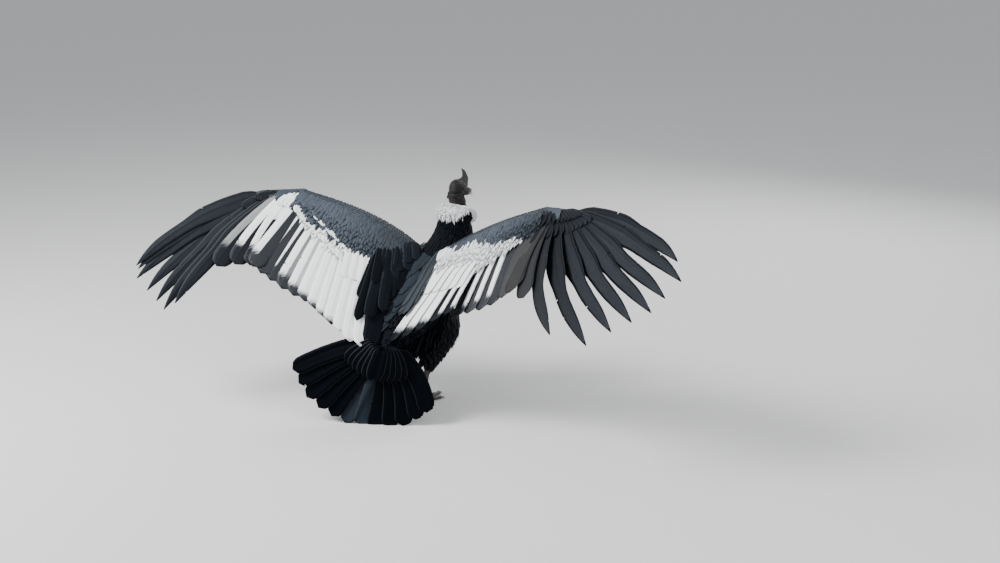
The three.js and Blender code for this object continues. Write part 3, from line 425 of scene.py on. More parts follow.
def featherBatch(root, tip, normal, outer, width, place, profile="flight", rows=12, columns=8, bow=0.0,
                 sag=0.0, tilt=5.5, thick=0.0012, shaft=0.3, cup=0.05, notches=0, seed=1, rachis=0.0008,
                 tone=black, white=0.0, dark=1.2, pale=0.0, loose=0.0):
    count = len(root)
    rng = np.random.default_rng(seed)
    if loose:
        tip, width = loosened(rng, root, tip, normal, outer, width, loose)
    each = lambda value: np.broadcast_to(np.asarray(value, float), (count,))
    width, bow, sag, tilt = (each(value)[:, None] for value in (width, bow, sag, tilt))
    tilt = np.radians(tilt)
    along = tip - root
    length = np.linalg.norm(along, axis=1)
    side, high = square(outer, along), square(normal, along)
    middle = (root + tip) / 2 + side * 2 * bow + high * 2 * sag
    t = np.repeat((np.linspace(0, 1, rows) ** leaf["crowding"])[None], count, 0)
    if notches:
        at = rng.uniform(*leaf["notchSpan"], (count, notches))
        half = leaf["notchHalf"] / length[:, None]
        t = np.concatenate([t, at - half, at, at + half], 1)
        order = np.argsort(t, 1)
        t = np.take_along_axis(t, order, 1)
        dents = (order >= rows + notches) & (order < rows + 2 * notches)
    t = np.clip(t, 0, 1)
    s = t[..., None]
    centre = (1 - s) ** 2 * root[:, None] + 2 * s * (1 - s) * middle[:, None] + s ** 2 * tip[:, None]
    ahead = unit(2 * (1 - s) * (middle - root)[:, None] + 2 * s * (tip - middle)[:, None])
    over = (normal * np.cos(tilt) - side * np.sin(tilt))[:, None]
    across = unit(np.cross(ahead, over))
    across *= np.where(dot(across, side[:, None]) < 0, -1, 1)
    upward = np.cross(across, ahead)
    upward *= np.where(dot(upward, over) < 0, -1, 1)
    rear, front = profileOf(profile, t)
    if notches:
        deep = rng.uniform(*leaf["notchDeep"], t.shape)
        isFront = rng.random(t.shape) < leaf["notchFront"]
        front = front * np.where(dents & isFront, 1 - deep, 1)
        rear = rear * np.where(dents & ~isFront, 1 - deep, 1)
    wave = 1 + leaf["waviness"] * rng.normal(size=t.shape) * (t > leaf["wavyFrom"])
    if columns == 3:
        xs = np.array([-1, shaft, 1])
    else:
        edges = leaf["columns"]
        xs = np.array([*edges[:3], shaft - leaf["ridge"], shaft, shaft + leaf["ridge"], *edges[3:]])
    x = (xs - shaft) * np.where(xs < shaft, rear[..., None], front[..., None])
    x = shaft * np.clip(front, 0, 1)[..., None] + x
    x = x * np.where(np.abs(xs) == 1, wave[..., None], 1)
    camber = cup * width[..., None] * (1 - x ** 2)
    lift = camber + np.where(np.isclose(xs, shaft), rachis * (1 - leaf["shaftTaper"] * s), 0)
    grid = centre[:, :, None] + across[:, :, None] * (x * (width[..., None] / 2))[..., None] + upward[
        :, :, None] * lift[..., None]
    below = grid - upward[:, :, None] * (thick * (1 - leaf["taper"] * s))[..., None]
    inner = lambda a: a[:, 1:-1, 1:-1].reshape(count, -1, a.shape[-1])
    points = np.concatenate([grid.reshape(count, -1, 3), inner(below)], 1)
    points[..., 2] = np.maximum(points[..., 2], 0)  # none lies under the floor
    faces = leafFaces(*grid.shape[1:3])
    # Which way a face on the upper side turns decides the order of all its feather's corners
    a, b, d = (points[:, faces[len(faces) // 4, k]] for k in (0, 1, 3))
    flip = dot(np.cross(b - a, d - a), over[:, 0])[:, 0] < 0
    size = points.shape[1]
    every = faces[None] + (np.arange(count) * size)[:, None, None]
    every[flip] = every[flip][..., ::-1]
    uv = np.stack([(xs - shaft)[None, None] * np.ones_like(x), np.repeat(t[..., None], len(xs), 2)], -1)
    uv = np.concatenate([uv.reshape(count, -1, 2), inner(uv)], 1)
    quill = np.stack([length, width[:, 0] / 2, rng.random(count) * leaf["seeds"]], -1)
    mark = np.stack([each(white), each(dark), each(pale)], -1)
    tones = np.broadcast_to(np.asarray(tone, float), (count, 3)) * rng.uniform(*leaf["shades"], (count, 1))
    widen = lambda a: np.repeat(a[:, None], size, 1).reshape(-1, a.shape[-1])
    return {"points": points.reshape(-1, 3), "faces": every.reshape(-1, 4), "uv": uv.reshape(-1, 2),
            "quill": widen(quill), "mark": widen(mark), "tone": widen(tones), "place": widen(place)}


def bakeMap(place, uv, size):  # each feather is a small patch at its root's place on the unwrapped skin
    local = np.stack([np.clip(uv[:, 0] / 2 + 0.6, 0, 1), uv[:, 1]], -1)
    return np.clip(place + (local - 0.5) * size, 0.001, 0.999)


def coat(name, batches, material, slot, *nodes, small=True):
    join = lambda key: np.concatenate([batch[key] for batch in batches])
    starts = np.cumsum([0] + [len(batch["points"]) for batch in batches])
    faces = np.concatenate([batch["faces"] + start for batch, start in zip(batches, starts)])
    points = join("points")
    mesh = bpy.data.meshes.new(name)
    mesh.vertices.add(len(points))
    mesh.vertices.foreach_set("co", (points + shift).ravel())
    mesh.loops.add(faces.size)
    mesh.loops.foreach_set("vertex_index", faces.ravel())
    mesh.polygons.add(len(faces))
    mesh.polygons.foreach_set("loop_start", np.arange(len(faces)) * 4)
    mesh.polygons.foreach_set("loop_total", np.full(len(faces), 4))
    mesh.update(calc_edges=True)
    setMap(mesh, "vane", join("uv"))
    setMap(mesh, "OFBake", bakeMap(join("place"), join("uv"), leaf["patch"][0 if small else 1]))
    for key in ("quill", "mark"):
        mesh.attributes.new(key, "FLOAT_VECTOR", "POINT").data.foreach_set("vector", join(key).ravel())
    setTone(mesh, join("tone"))
    mesh.validate()
    settle(linked(name, mesh, material), slot, *nodes)
    print(name, "triangles", len(faces) * 2)


def staggered(count, row, jitter=0.0):  # places along a row, each other row half a step on
    return (np.arange(count) + 0.5 * (row % 2) + jitter) / count


def ladder(count):
    return np.linspace(0, 1, count)


# Trunk
body = {
    "backY": [-0.236, -0.150, -0.040, 0.065, 0.150, 0.200, 0.222],
    "backZ": [0.334, 0.412, 0.508, 0.594, 0.662, 0.736, 0.808],
    "sideways": [0, 0, 0, 0.002, 0.014, 0.038, 0.050],
    "depth": [0.046, 0.146, 0.226, 0.256, 0.244, 0.200, 0.162],
    "width": [0.104, 0.204, 0.268, 0.292, 0.256, 0.188, 0.148],
    "lean": [41, 40, 40, 41, 50, 64, 70],
    "bellyTaper": 0.12, "bellyDeep": 1.06, "backFlat": 0.06,
}


def trunkPoint(t, angle, grow=0.0):
    lean = np.radians(run(body["lean"], t))
    high = np.stack([np.zeros_like(lean), -np.sin(lean), np.cos(lean)], -1)
    depth = run(body["depth"], t) / 2
    back = np.stack([run(body[k], t) for k in ("sideways", "backY", "backZ")], -1)
    c, s = np.cos(angle), np.sin(angle)
    wide = c * (1 - body["bellyTaper"] * np.maximum(0, -s))
    tall = np.where(s < 0, body["bellyDeep"], 1 - body["backFlat"] * c * c) * s
    centre = back - high * depth[..., None]
    aside = wide * (run(body["width"], t) / 2 + grow)
    return centre + vec(1, 0, 0) * aside[..., None] + high * (tall * (depth + grow))[..., None]


def trunkFrame(t, angle):  # a place on the trunk, its outward normal and the way its feathers lie
    place = trunkPoint(t, angle)
    lie = unit(trunkPoint(t - 0.01, angle) - trunkPoint(t + 0.01, angle))
    around = trunkPoint(t, angle + 0.02) - trunkPoint(t, angle - 0.02)
    outward = unit(np.cross(around, lie))
    centre = trunkPoint(t, angle, -0.02)
    outward *= np.where(dot(outward, place - centre) < 0, -1, 1)
    return place, outward, lie


def onTrunkMap(t, angle):  # the trunk unwrapped, on the left of the map
    return np.stack([0.02 + 0.56 * (angle / (2 * math.pi) % 1), 0.02 + 0.96 * t], -1)


# Wings
wing = {
    "upperArm": 0.290, "forearm": 0.330, "hand": 0.150, "chord": vec(0, -0.8, -0.6), "slope": 0.45,
    "inside": 0.040, "past": 0.006,
    "thick": [0.066, 0.048, 0.042, 0.036, 0.030, 0.024],
    "lead": [0.040, 0.068, 0.080, 0.076, 0.060, 0.038],
    "rear": [0.096, 0.138, 0.164, 0.130, 0.086, 0.042],
    "handFrom": -0.012, "handPast": 0.010, "handWide": (0.036, 0.016), "handThick": (0.010, 0.0045),
}
poses = {
    "right": {
        "sign": 1, "shoulder": vec(0.095, 0.150, 0.655), "wrist": vec(0.590, 0.090, 0.903),
        "handFan": 18, "handDroop": 9, "elbowFan": 103,
        "fan": [97, 76, 62, 51, 41, 30], "droop": [1, 4, 12, 15, 16, 17],
        "bow": [-0.02, -0.08, -0.045, -0.01, 0.02, 0.08],
        "reach": [0.435, 0.485, 0.740, 0.830, 0.800, 0.810, 0.830, 0.825, 0.825, 0.745],
        "primaryTone": [(0.026, 0.025, 0.024), (0.018, 0.018, 0.019), (0.009, 0.0095, 0.011)],
        "primaryWhite": [0, 0, 0], "firstFinger": 2,
        "whiteFrom": [-0.03, 0, 0.008, 0.038, 0.06, 0.07], "whiteStart": -0.1,
        "covertWhite": [-0.03, 0, 0.008, 0.038, 0.06, 0.07], "handWhite": 0,
        # painted light and shade along the right wing's coverts, from shoulder to wrist
        "paintedSlateLight": [0.8, 0.95, 1.15, 1.15, 0.85, 0.6],
        "secondaries": 6, "secondaryFan": [91.5, 93.5, 97, 102, 107], "secondaryDroop": [1, 3, 5, 6, 6],
        "secondaryLength": [0.406, 0.396, 0.371, 0.333, 0.302], "secondaryWhite": [0, 0, 0, 1, 1, 1],
        "secondaryTone": [(0.028, 0.027, 0.026)] * 2 + [(0.014, 0.015, 0.017)] + [dusk] * 3,
        "secondaryDark": [0.84, 0.84, 0.84, 0.84, 0.84, 0.84],
        "tertials": 5, "tertialFan": (104, 116), "tertialLength": [0.320, 0.420, 0.500],
        "tertialWhite": [1, 1, 2, 2, 2], "tertialDark": [0.88, 0.88, 0.88, 0.88, 0.88],
        "innerCoverts": [2, 2, 2, 2, 2, 2, 2, 2], "innerTo": 1.15,
        "scapulars": 12, "scapularsFrom": 1.15, "scapularsTo": 1.6, "scapularFan": (99, 124),
        "scapularLift": 0.014,
        # painted light: the right scapulars' tones and pale edges are set lighter than the left ones' for the
        # light on them
        "scapularTone": [(0.034, 0.042, 0.048), (0.022, 0.028, 0.034)], "scapularPale": 0.8,
        "scapularLength": [[0.400, 0.410, 0.430], [0.330, 0.335, 0.350], [0.230, 0.230, 0.240]],
    },
    "left": {
        "sign": -1, "shoulder": vec(-0.095, 0.150, 0.655), "wrist": vec(-0.588, 0.018, 0.881),
        "handFan": 24, "handDroop": 6, "elbowFan": 104,
        "fan": [87, 74.5, 73, 64, 55, 52], "droop": [3, 3, 8, 13, 12, 11],
        "bow": [0.03, 0.04, 0.05, 0.055, 0.06, 0.08],
        "reach": [0.431, 0.467, 0.525, 0.763, 0.808, 0.803, 0.809, 0.821, 0.797, 0.798],
        "primaryTone": [(0.016, 0.017, 0.019), (0.010, 0.011, 0.013), (0.007, 0.008, 0.010)],
        "primaryWhite": [1, 1, 0.25], "firstFinger": 3,
        "whiteFrom": [0.06, 0.07, 0.112, 0.090, 0.066, 0.056], "whiteStart": 0.28,
        "covertWhite": [0.06, 0.07, 0.112, 0.093, 0.05, 0.01], "handWhite": 0.34,
        # painted light and shade along the left wing's coverts, darkest at the shoulder
        "paintedSlateLight": [0.3, 0.42, 0.75, 1, 1.05, 1.05],
        "secondaries": 8, "secondaryFan": [87, 89, 95, 100, 104.5], "secondaryDroop": [-2, 0, 0, 0, 0],
        "secondaryLength": [0.440, 0.420, 0.409, 0.385, 0.385], "secondaryWhite": [1, 1, 1, 1.2, 1.5, 2, 2, 2],
        "secondaryTone": [dusk] * 8,
        "secondaryDark": [0.85, 0.84, 0.84, 0.86, 0.9, 0.93, 0.95, 0.96],
        "tertials": 6, "tertialFan": (105, 111), "tertialLength": [0.418, 0.452, 0.496, 0.516, 0.516, 0.360],
        "tertialWhite": [2, 2, 2, 2, 0, 0], "tertialDark": [0.97, 1.2, 1.2, 1.2, 1.2, 1.2],
        "innerCoverts": [2, 2, 2, 2, 0, 0, 0, 0], "innerTo": 0.9,
        "scapulars": 10, "scapularsFrom": 0.5, "scapularsTo": 1.0, "scapularFan": (103, 118),
        "scapularLift": 0,
        "scapularTone": [black, smoke], "scapularPale": 0.15,
        "scapularLength": [[0.400, 0.395, 0.320, 0.170, 0.130, 0.120],
                           [0.330, 0.320, 0.250, 0.150, 0.120, 0.110],
                           [0.230, 0.220, 0.180, 0.130, 0.110, 0.100]],
    },
}


def armShape(c, s):  # thicker in front than behind
    return c, s * (1 - wing["slope"] * c)


class WingFrame:  # w runs along the arm to the wrist, c back over the feathers, and n up out of the wing
    def __init__(self, pose):
        arm = pose["wrist"] - pose["shoulder"]
        self.pose = pose
        self.reach = float(np.linalg.norm(arm))
        self.w = unit(arm)
        self.c = square(wing["chord"], self.w)
        self.n = np.cross(self.c, self.w) * pose["sign"]
        upper, forearm = wing["upperArm"], wing["forearm"]
        turn = math.acos((upper ** 2 + self.reach ** 2 - forearm ** 2) / (2 * upper * self.reach))
        self.elbow = pose["shoulder"] + self.w * upper * math.cos(turn) + self.c * upper * math.sin(turn)
        self.ahead = self.way(np.array(pose["handFan"]), np.array(pose["handDroop"]))
        self.handC, self.handN = square(self.c, self.ahead), square(self.n, self.ahead)

    def way(self, fan, droop):
        f, d = np.radians(fan)[..., None], np.radians(droop)[..., None]
        return (self.w * np.cos(f) + self.c * np.sin(f)) * np.cos(d) - self.n * np.sin(d)

    def outer(self, fan):
        f = np.radians(fan)[..., None]
        return self.w * np.sin(f) - self.c * np.cos(f)

    def onArm(self, t):  # from inside the shoulder to just past the wrist
        return mix(-wing["inside"], self.reach + wing["past"], t)

    def shareOf(self, own):  # how far along the arm a place is, from 0 to 1
        return (own @ self.w + wing["inside"]) / (self.reach + (wing["inside"] + wing["past"]))

    def onHand(self, t):
        return mix(wing["handFrom"], wing["hand"] + wing["handPast"], t)

    def onMap(self, root, under=False):  # the wing unwrapped, its upper side on the left of the map
        own, scale = root - self.pose["shoulder"], self.reach + 0.25
        behind = (own @ self.c + 0.10) / scale
        along = 0.03 + 0.94 * (own @ self.w + 0.06) / scale
        return np.stack([0.96 - behind if under else 0.04 + behind, along], -1)

    def armPoint(self, t, chord, over):
        # chord runs from -1 at the leading edge to 1 behind; over is 1 above the arm and -1 under it
        lead, rear, thick = (run(wing[k], t) for k in ("lead", "rear", "thick"))
        high = np.sqrt(np.clip(1 - chord ** 2, 0, 1)) * (1 - wing["slope"] * chord) * (thick / 2) * over
        centre = self.pose["shoulder"] + self.w * self.onArm(t)[..., None]
        back = (rear - lead) / 2 + chord * (rear + lead) / 2
        return centre + self.c * back[..., None] + self.n * high[..., None]

    def batch(self, root, tip, fan, width, under=False, **more):  # feathers that lie in the wing
        normal = np.tile(self.n * (-1 if under else 1), (len(root), 1))
        return featherBatch(root, tip, normal, self.outer(fan), width, self.onMap(root, under), **more)


wings = {name: WingFrame(pose) for name, pose in poses.items()}
skin = {"voxel": 0.005, "inset": 0.004, "armInset": 0.003, "handBack": 0.002, "whiteShade": 0.8}


def bodySkin():
    turn = np.linspace(0, 2 * math.pi, 40, endpoint=False)
    groups = [[trunkPoint(np.full(40, t), turn, -skin["inset"]) for t in np.linspace(0.0, 1, 26)]]
    for f in wings.values():
        rings = []
        for t in np.linspace(0, 1, 14):
            lead, rear, thick = (float(run(wing[k], t)) for k in ("lead", "rear", "thick"))
            centre = f.pose["shoulder"] + f.w * f.onArm(t) + f.c * (rear - lead) / 2
            rings.append(ringAt(centre, f.c, f.n, (rear + lead) / 2 - skin["armInset"],
                                thick / 2 - skin["armInset"], 24, armShape))
        groups.append(rings)
        groups.append([
            ringAt(f.pose["wrist"] + f.ahead * f.onHand(t) - f.handC * skin["handBack"], f.handC, f.handN,
                   mix(*wing["handWide"], t), mix(*wing["handThick"], t), 16, armShape)
            for t in np.linspace(0, 1, 8)])
    groups.extend(thighRings(sign, -skin["inset"]) for sign in (1, -1))
    piece = lofted("bodySkin", groups, skinUnderFeathers)
    remeshed(piece, skin["voxel"], 4)
    points = pointsOf(piece)
    tones = np.tile(np.array(black), (len(points), 1))
    for f in wings.values():
        own = points - f.pose["shoulder"]
        share = f.shareOf(own)
        above = (share > 0) & (share < 1.05) & (own @ f.n > 0)
        behind = own @ f.c > run(f.pose["whiteFrom"], share)
        tones[above & ~behind] = slate
        tones[above & behind & (share > f.pose["whiteStart"])] = np.array(white) * skin["whiteShade"]
    setTone(piece.data, tones)
    settle(piece, "black_feathers", "torso", "right_thigh", "left_thigh")
    print("bodySkin triangles", len(piece.data.polygons) * 2)


leg = {
    "hip": vec(0.084, 0.128, 0.410), "knee": vec(0.101, 0.072, 0.312), "ankle": vec(0.076, -0.004, 0.196),
    "foot": vec(0.046, 0.010, 0), "thighWide": [0.062, 0.066, 0.048, 0.027],
    "thighDeep": [0.084, 0.078, 0.054, 0.030], "shankRadius": 0.0125,
    "palm": vec(0.023, 0.027, 0.034), "top": 0.0461,
}
toes = [
    {"name": "middle", "turn": 3, "length": 0.118, "radius": 0.0115, "claw": 0.027},
    {"name": "inner", "turn": -27, "length": 0.074, "radius": 0.010, "claw": 0.024},
    {"name": "outer", "turn": 30, "length": 0.084, "radius": 0.0095, "claw": 0.021},
    {"name": "hind", "turn": 176, "length": 0.042, "radius": 0.008, "claw": 0.016},
]


def thighPlace(sign, t):
    turned = vec(sign, 1, 1)
    curve = np.array([leg[k] * turned for k in ("hip", "knee", "ankle")])
    centre = run(curve, t)
    ahead = unit(run(curve, min(1, t + 0.02)) - run(curve, max(0, t - 0.02)))
    side = square(vec(1, 0, 0), ahead)
    return centre, ahead, side, np.cross(ahead, side)


def thighRings(sign, grow):
    rings = []
    for t in np.linspace(0, 1, 12):
        centre, _, side, high = thighPlace(sign, t)
        wide, deep = run(leg["thighWide"], t) + grow, run(leg["thighDeep"], t) + grow
        rings.append(ringAt(centre, side, high, wide, deep, 24))
    return rings


bodySkin()
print("body skin made")

# Body feathers: rows over the trunk from the tail to the neck
softLeaf = {"profile": "small", "rows": 5, "columns": 3, "sag": 0.002, "tilt": 0, "thick": 0.0006, "shaft": 0,
            "cup": 0.08, "rachis": 0.0003}
trunkRows = {"from": 0.02, "to": 0.985, "rows": 40, "apart": 0.018,
             "length": (0.042, 0.060), "width": 0.52, "sunk": 0.003, "hang": vec(0, 0, -0.25)}


def trunkCoat():
    rng = np.random.default_rng(5)
    places = []
    for row, t in enumerate(np.linspace(trunkRows["from"], trunkRows["to"], trunkRows["rows"])):
        around = math.pi * (run(body["width"], t) + run(body["depth"], t)) / 2
        count = int(around / trunkRows["apart"])
        places.append(np.stack([np.full(count, t), staggered(count, row) * 2 * math.pi], -1))
    places = np.concatenate(places) + rng.normal(size=(sum(map(len, places)), 2)) * (0.003, 0.02)
    t, angle = np.clip(places[:, 0], 0, 1), places[:, 1]
    root, outward, lie = trunkFrame(t, angle)
    below = np.clip(-np.sin(angle), 0, 1)[:, None]
    lie = unit(lie + trunkRows["hang"] * below + rng.normal(size=lie.shape) * 0.05)
    lie = square(lie, outward)
    length = mix(*trunkRows["length"], np.clip(np.sin(angle), 0, 1)) * rng.uniform(0.85, 1.15, len(t))
    length = length * mix(1.1, 0.75, t)
    root = root - outward * trunkRows["sunk"]
    tip = root + lie * length[:, None] + outward * trunkRows["sunk"]
    return featherBatch(root, tip, outward, np.cross(outward, lie), length * trunkRows["width"],
                        onTrunkMap(t, angle), **softLeaf, seed=3, pale=0.12, loose=0.05)


thighRows = {"from": 0.06, "to": 0.98, "rows": 24, "apart": 0.011,
             "length": (0.048, 0.066), "sunk": 0.003, "lift": 0.002, "tone": (0.009, 0.010, 0.012),
             "map": {1: 0.62, -1: 0.82}}


def thighCoat():
    batches = []
    for sign in (1, -1):
        roots, tips, normals, places = [], [], [], []
        rng = np.random.default_rng(8)
        for row, t in enumerate(np.linspace(thighRows["from"], thighRows["to"], thighRows["rows"])):
            centre, ahead, side, high = thighPlace(sign, t)
            wide, deep = float(run(leg["thighWide"], t)), float(run(leg["thighDeep"], t))
            count = int(math.pi * (wide + deep) / thighRows["apart"])
            angle = staggered(count, row) * 2 * math.pi + rng.normal(size=count) * 0.03
            out = unit(np.outer(np.cos(angle) / wide, side) + np.outer(np.sin(angle) / deep, high))
            spot = centre + np.outer(np.cos(angle) * wide, side) + np.outer(np.sin(angle) * deep, high)
            down = unit(ahead * 0.6 + vec(0, 0, -0.7) + rng.normal(size=(count, 3)) * 0.08)
            length = rng.uniform(*thighRows["length"], count) * mix(1.1, 0.75, t)
            roots.append(spot - out * thighRows["sunk"])
            normals.append(out)
            tips.append(spot + square(down, out) * length[:, None] + out * thighRows["lift"])
            around = thighRows["map"][sign] + 0.16 * (angle / (2 * math.pi) % 1)
            places.append(np.stack([around, np.full(count, 0.02 + 0.96 * t)], -1))
        root, tip, normal, place = (np.concatenate(a) for a in (roots, tips, normals, places))
        batches.append(featherBatch(root, tip, normal, np.cross(normal, tip - root), 0.016, place, **softLeaf,
                                    seed=4, pale=0.08, tone=thighRows["tone"], loose=0.06))
    return batches


vent = {"count": 750, "to": 0.42, "hang": vec(0, -0.30, -0.80), "length": (0.085, 0.135), "sunk": 0.004}


def ventCoat():  # long soft feathers that hang from the belly between the thighs and the tail
    rng = np.random.default_rng(14)
    t = rng.uniform(0.03, vent["to"], vent["count"])
    angle = rng.uniform(math.pi * 1.02, math.pi * 1.98, vent["count"])
    root, outward, lie = trunkFrame(t, angle)
    way = unit(lie * 0.5 + vent["hang"] + rng.normal(size=root.shape) * 0.10)
    length = rng.uniform(*vent["length"], vent["count"]) * mix(0.85, 1.1, t / vent["to"])
    return featherBatch(root - outward * vent["sunk"], root + way * length[:, None], square(outward, way),
                        np.cross(outward, way), 0.026, onTrunkMap(t, angle),
                        **dict(softLeaf, rows=6, sag=0.004), seed=15, pale=0.08)


coat("bodyCoat", [trunkCoat(), ventCoat()] + thighCoat(), jetFeather, "black_feathers", "torso")
print("body coat made")

# Small coverts of the arm, in rows from the leading edge back, above and below
covertLeaf = dict(softLeaf, tilt=2, shaft=0.1, cup=0.06)
armRows = {"chord": (0.92, -0.99), "rows": 20, "apart": 0.012,
           "length": (0.048, 0.085), "lift": (0.002, 0.004), "sunk": 0.002, "width": 0.023,
           "beforeWhite": 0.012}
handRows = {"chord": (0.7, -0.97), "wide": (0.037, 0.017), "length": (0.038, 0.052), "fanMore": 22,
            "width": 0.022}


def armCoverts(f, rng, over):
    pose = f.pose
    roots, tips, tones = [], [], []
    count = int(f.reach / armRows["apart"])
    for row, chord in enumerate(np.linspace(*armRows["chord"], armRows["rows"])):
        t = mix(0.08, 1.0, np.clip(staggered(count, row, rng.uniform(-0.2, 0.2, count)), 0, 1))
        spot = f.armPoint(t, np.full(count, chord), over)
        way = f.way(mix(pose["elbowFan"] + 6, 84, t) + rng.normal(size=count) * 5, np.zeros(count))
        behind = (chord + 1) / 2
        length = mix(*armRows["length"], behind) * rng.uniform(0.8, 1.2, count)
        roots.append(spot - f.n * over * armRows["sunk"])
        tips.append(spot + way * length[:, None] + f.n * over * mix(*armRows["lift"], behind))
        lead, rear = run(wing["lead"], t), run(wing["rear"], t)
        back = (rear - lead) / 2 + chord * (rear + lead) / 2
        edge = run(pose["whiteFrom"], t) - armRows["beforeWhite"] + rng.normal(size=count) * 0.006
        isWhite = (back > edge) & (t > pose["whiteStart"]) & (over > 0)
        # painted light and shade: the coverts above and under grow lighter and darker from shoulder to wrist,
        # after how the light falls on each wing
        shaded = np.outer(run(pose["paintedSlateLight"], t), slate if over > 0 else black)
        tones.append(np.where(isWhite[:, None], white, shaded))
    root, tip, tone = (np.concatenate(a) for a in (roots, tips, tones))
    return featherBatch(root, tip, np.tile(f.n * over, (len(root), 1)), np.tile(f.w, (len(root), 1)),
                        armRows["width"], f.onMap(root, over < 0), **covertLeaf, seed=6, tone=tone, pale=0.06)


def handCoverts(f, rng, over):
    rows, each = 14, 6
    t = np.repeat(np.linspace(-0.05, 1, rows), each) + np.tile([0, 0.04], rows * each // 2)
    chord = np.tile(np.linspace(*handRows["chord"], each), rows)
    high = over * np.sqrt(1 - chord ** 2) * mix(*wing["handThick"], t)
    spot = f.pose["wrist"] + f.ahead * f.onHand(t)[:, None] + f.handC * (
        chord * mix(*handRows["wide"], t))[:, None] + f.handN * high[:, None]
    fan, droop = f.pose["handFan"] + float(handRows["fanMore"]), float(f.pose["handDroop"])
    way = f.way(np.full(len(t), fan), np.full(len(t), droop))
    tip = spot + way * rng.uniform(*handRows["length"], len(t))[:, None] + f.handN * over * 0.004
    return featherBatch(spot - f.handN * over * armRows["sunk"], tip, np.tile(f.handN * over, (len(t), 1)),
                        np.tile(-f.handC, (len(t), 1)), handRows["width"], f.onMap(spot, over < 0),
                        **dict(covertLeaf, sag=0.001), seed=9, tone=slate, pale=0.06)


def armCoat(f):
    rng = np.random.default_rng(21)
    return [make(f, rng, over) for make in (armCoverts, handCoverts) for over in (1, -1)]


# Flight feathers and their coverts
primary = {"count": 10, "from": 0.030, "back": 0.004, "width": 0.096, "sag": 0.02}
handTiers = ((0.175, 0.004, 0.050), (0.105, 0.008, 0.040))  # length, lift and width
alula = {"count": 4, "along": (0.008, 0.026), "back": (0.004, -0.012), "lift": (0.006, 0.010), "length": 0.120}


def handFeathers(f):
    pose, count = f.pose, primary["count"]
    t = ladder(count)
    fan, droop = run(pose["fan"], t), run(pose["droop"], t)
    root = pose["wrist"] + f.ahead * mix(primary["from"], wing["hand"], t)[:, None] + f.c * primary["back"]
    tip = pose["wrist"] + f.way(fan, droop) * run(pose["reach"], t)[:, None]
    length = np.linalg.norm(tip - root, axis=1)
    bow = run(pose["bow"], t) * length
    tone = np.array(pose["primaryTone"] + [black] * (count - 3))
    isWhite = np.array(pose["primaryWhite"] + [0] * (count - 3))
    pick = lambda rows, shape: f.batch(
        root[rows], tip[rows], fan[rows], primary["width"], profile=shape, rows=24, bow=bow[rows],
        sag=primary["sag"] * length[rows], notches=2, seed=31, pale=0.3, cup=0.035, tone=tone[rows],
        white=isWhite[rows], dark=0.8)
    first = pose["firstFinger"]
    batches = [pick(slice(0, first), "flight"), pick(slice(first, count), "finger")]
    t = ladder(11)
    fan, droop = run(pose["fan"], t) - 2, run(pose["droop"], t) * 0.8
    for tier, (span, lift, wide) in enumerate(handTiers):
        root = pose["wrist"] + f.ahead * mix(0.012, wing["hand"] - 0.006, t)[
            :, None] + f.n * lift - f.c * 0.010 * tier
        target = pose["wrist"] + f.way(fan, droop) * run(pose["reach"], t)[:, None]
        tip = root + unit(target - root) * (span * (1 - 0.15 * t))[:, None] + f.n * (0.007 + 0.003 * tier)
        batches.append(f.batch(root, tip, fan, wide, profile="round", seed=32 + tier, pale=0.4, notches=1,
                               white=np.where(t < pose["handWhite"], 2, 0)))
    t = ladder(alula["count"])
    along, back, lift = (mix(*alula[key], t)[:, None] for key in ("along", "back", "lift"))
    root = pose["wrist"] + f.ahead * along + f.c * back + f.n * lift
    fan = pose["handFan"] + 14 - 9 * t
    way = f.way(fan, np.full(len(t), pose["handDroop"] - 4.0))
    tip = root + way * (alula["length"] * (1 - 0.2 * t))[:, None]
    batches.append(f.batch(root, tip, fan, 0.034, profile="round", seed=35, tone=slate, pale=0.3))
    # Under the hand, shorter coverts over the roots of the primaries
    t = ladder(count)
    fan, droop = run(pose["fan"], t), run(pose["droop"], t)
    root = pose["wrist"] + f.ahead * mix(0.020, wing["hand"], t)[:, None] - f.n * 0.004
    tip = root + f.way(fan, droop) * 0.13 - f.n * 0.010
    batches.append(f.batch(root, tip, fan, 0.050, under=True, profile="round", rows=10, seed=36, pale=0.2))
    return batches


# Of each row of coverts, two above and two below: how many, lift, rise, back, more fan, length, width
covertRows = (
    (14, 0.003, 0.009, -0.022, 1, 0.118, 0.050, {"notches": 1, "loose": 0.02, "seed": 42}),
    (16, 0.007, 0.011, -0.046, 2, 0.088, 0.044, {"rows": 9, "loose": 0.03, "seed": 43}),
    (14, 0.003, 0.010, -0.020, 1, 0.150, 0.060, {"under": True, "rows": 9, "seed": 44, "pale": 0.2}),
    (16, 0.007, 0.010, -0.050, 1, 0.090, 0.050, {"under": True, "rows": 9, "seed": 45, "pale": 0.2}),
)


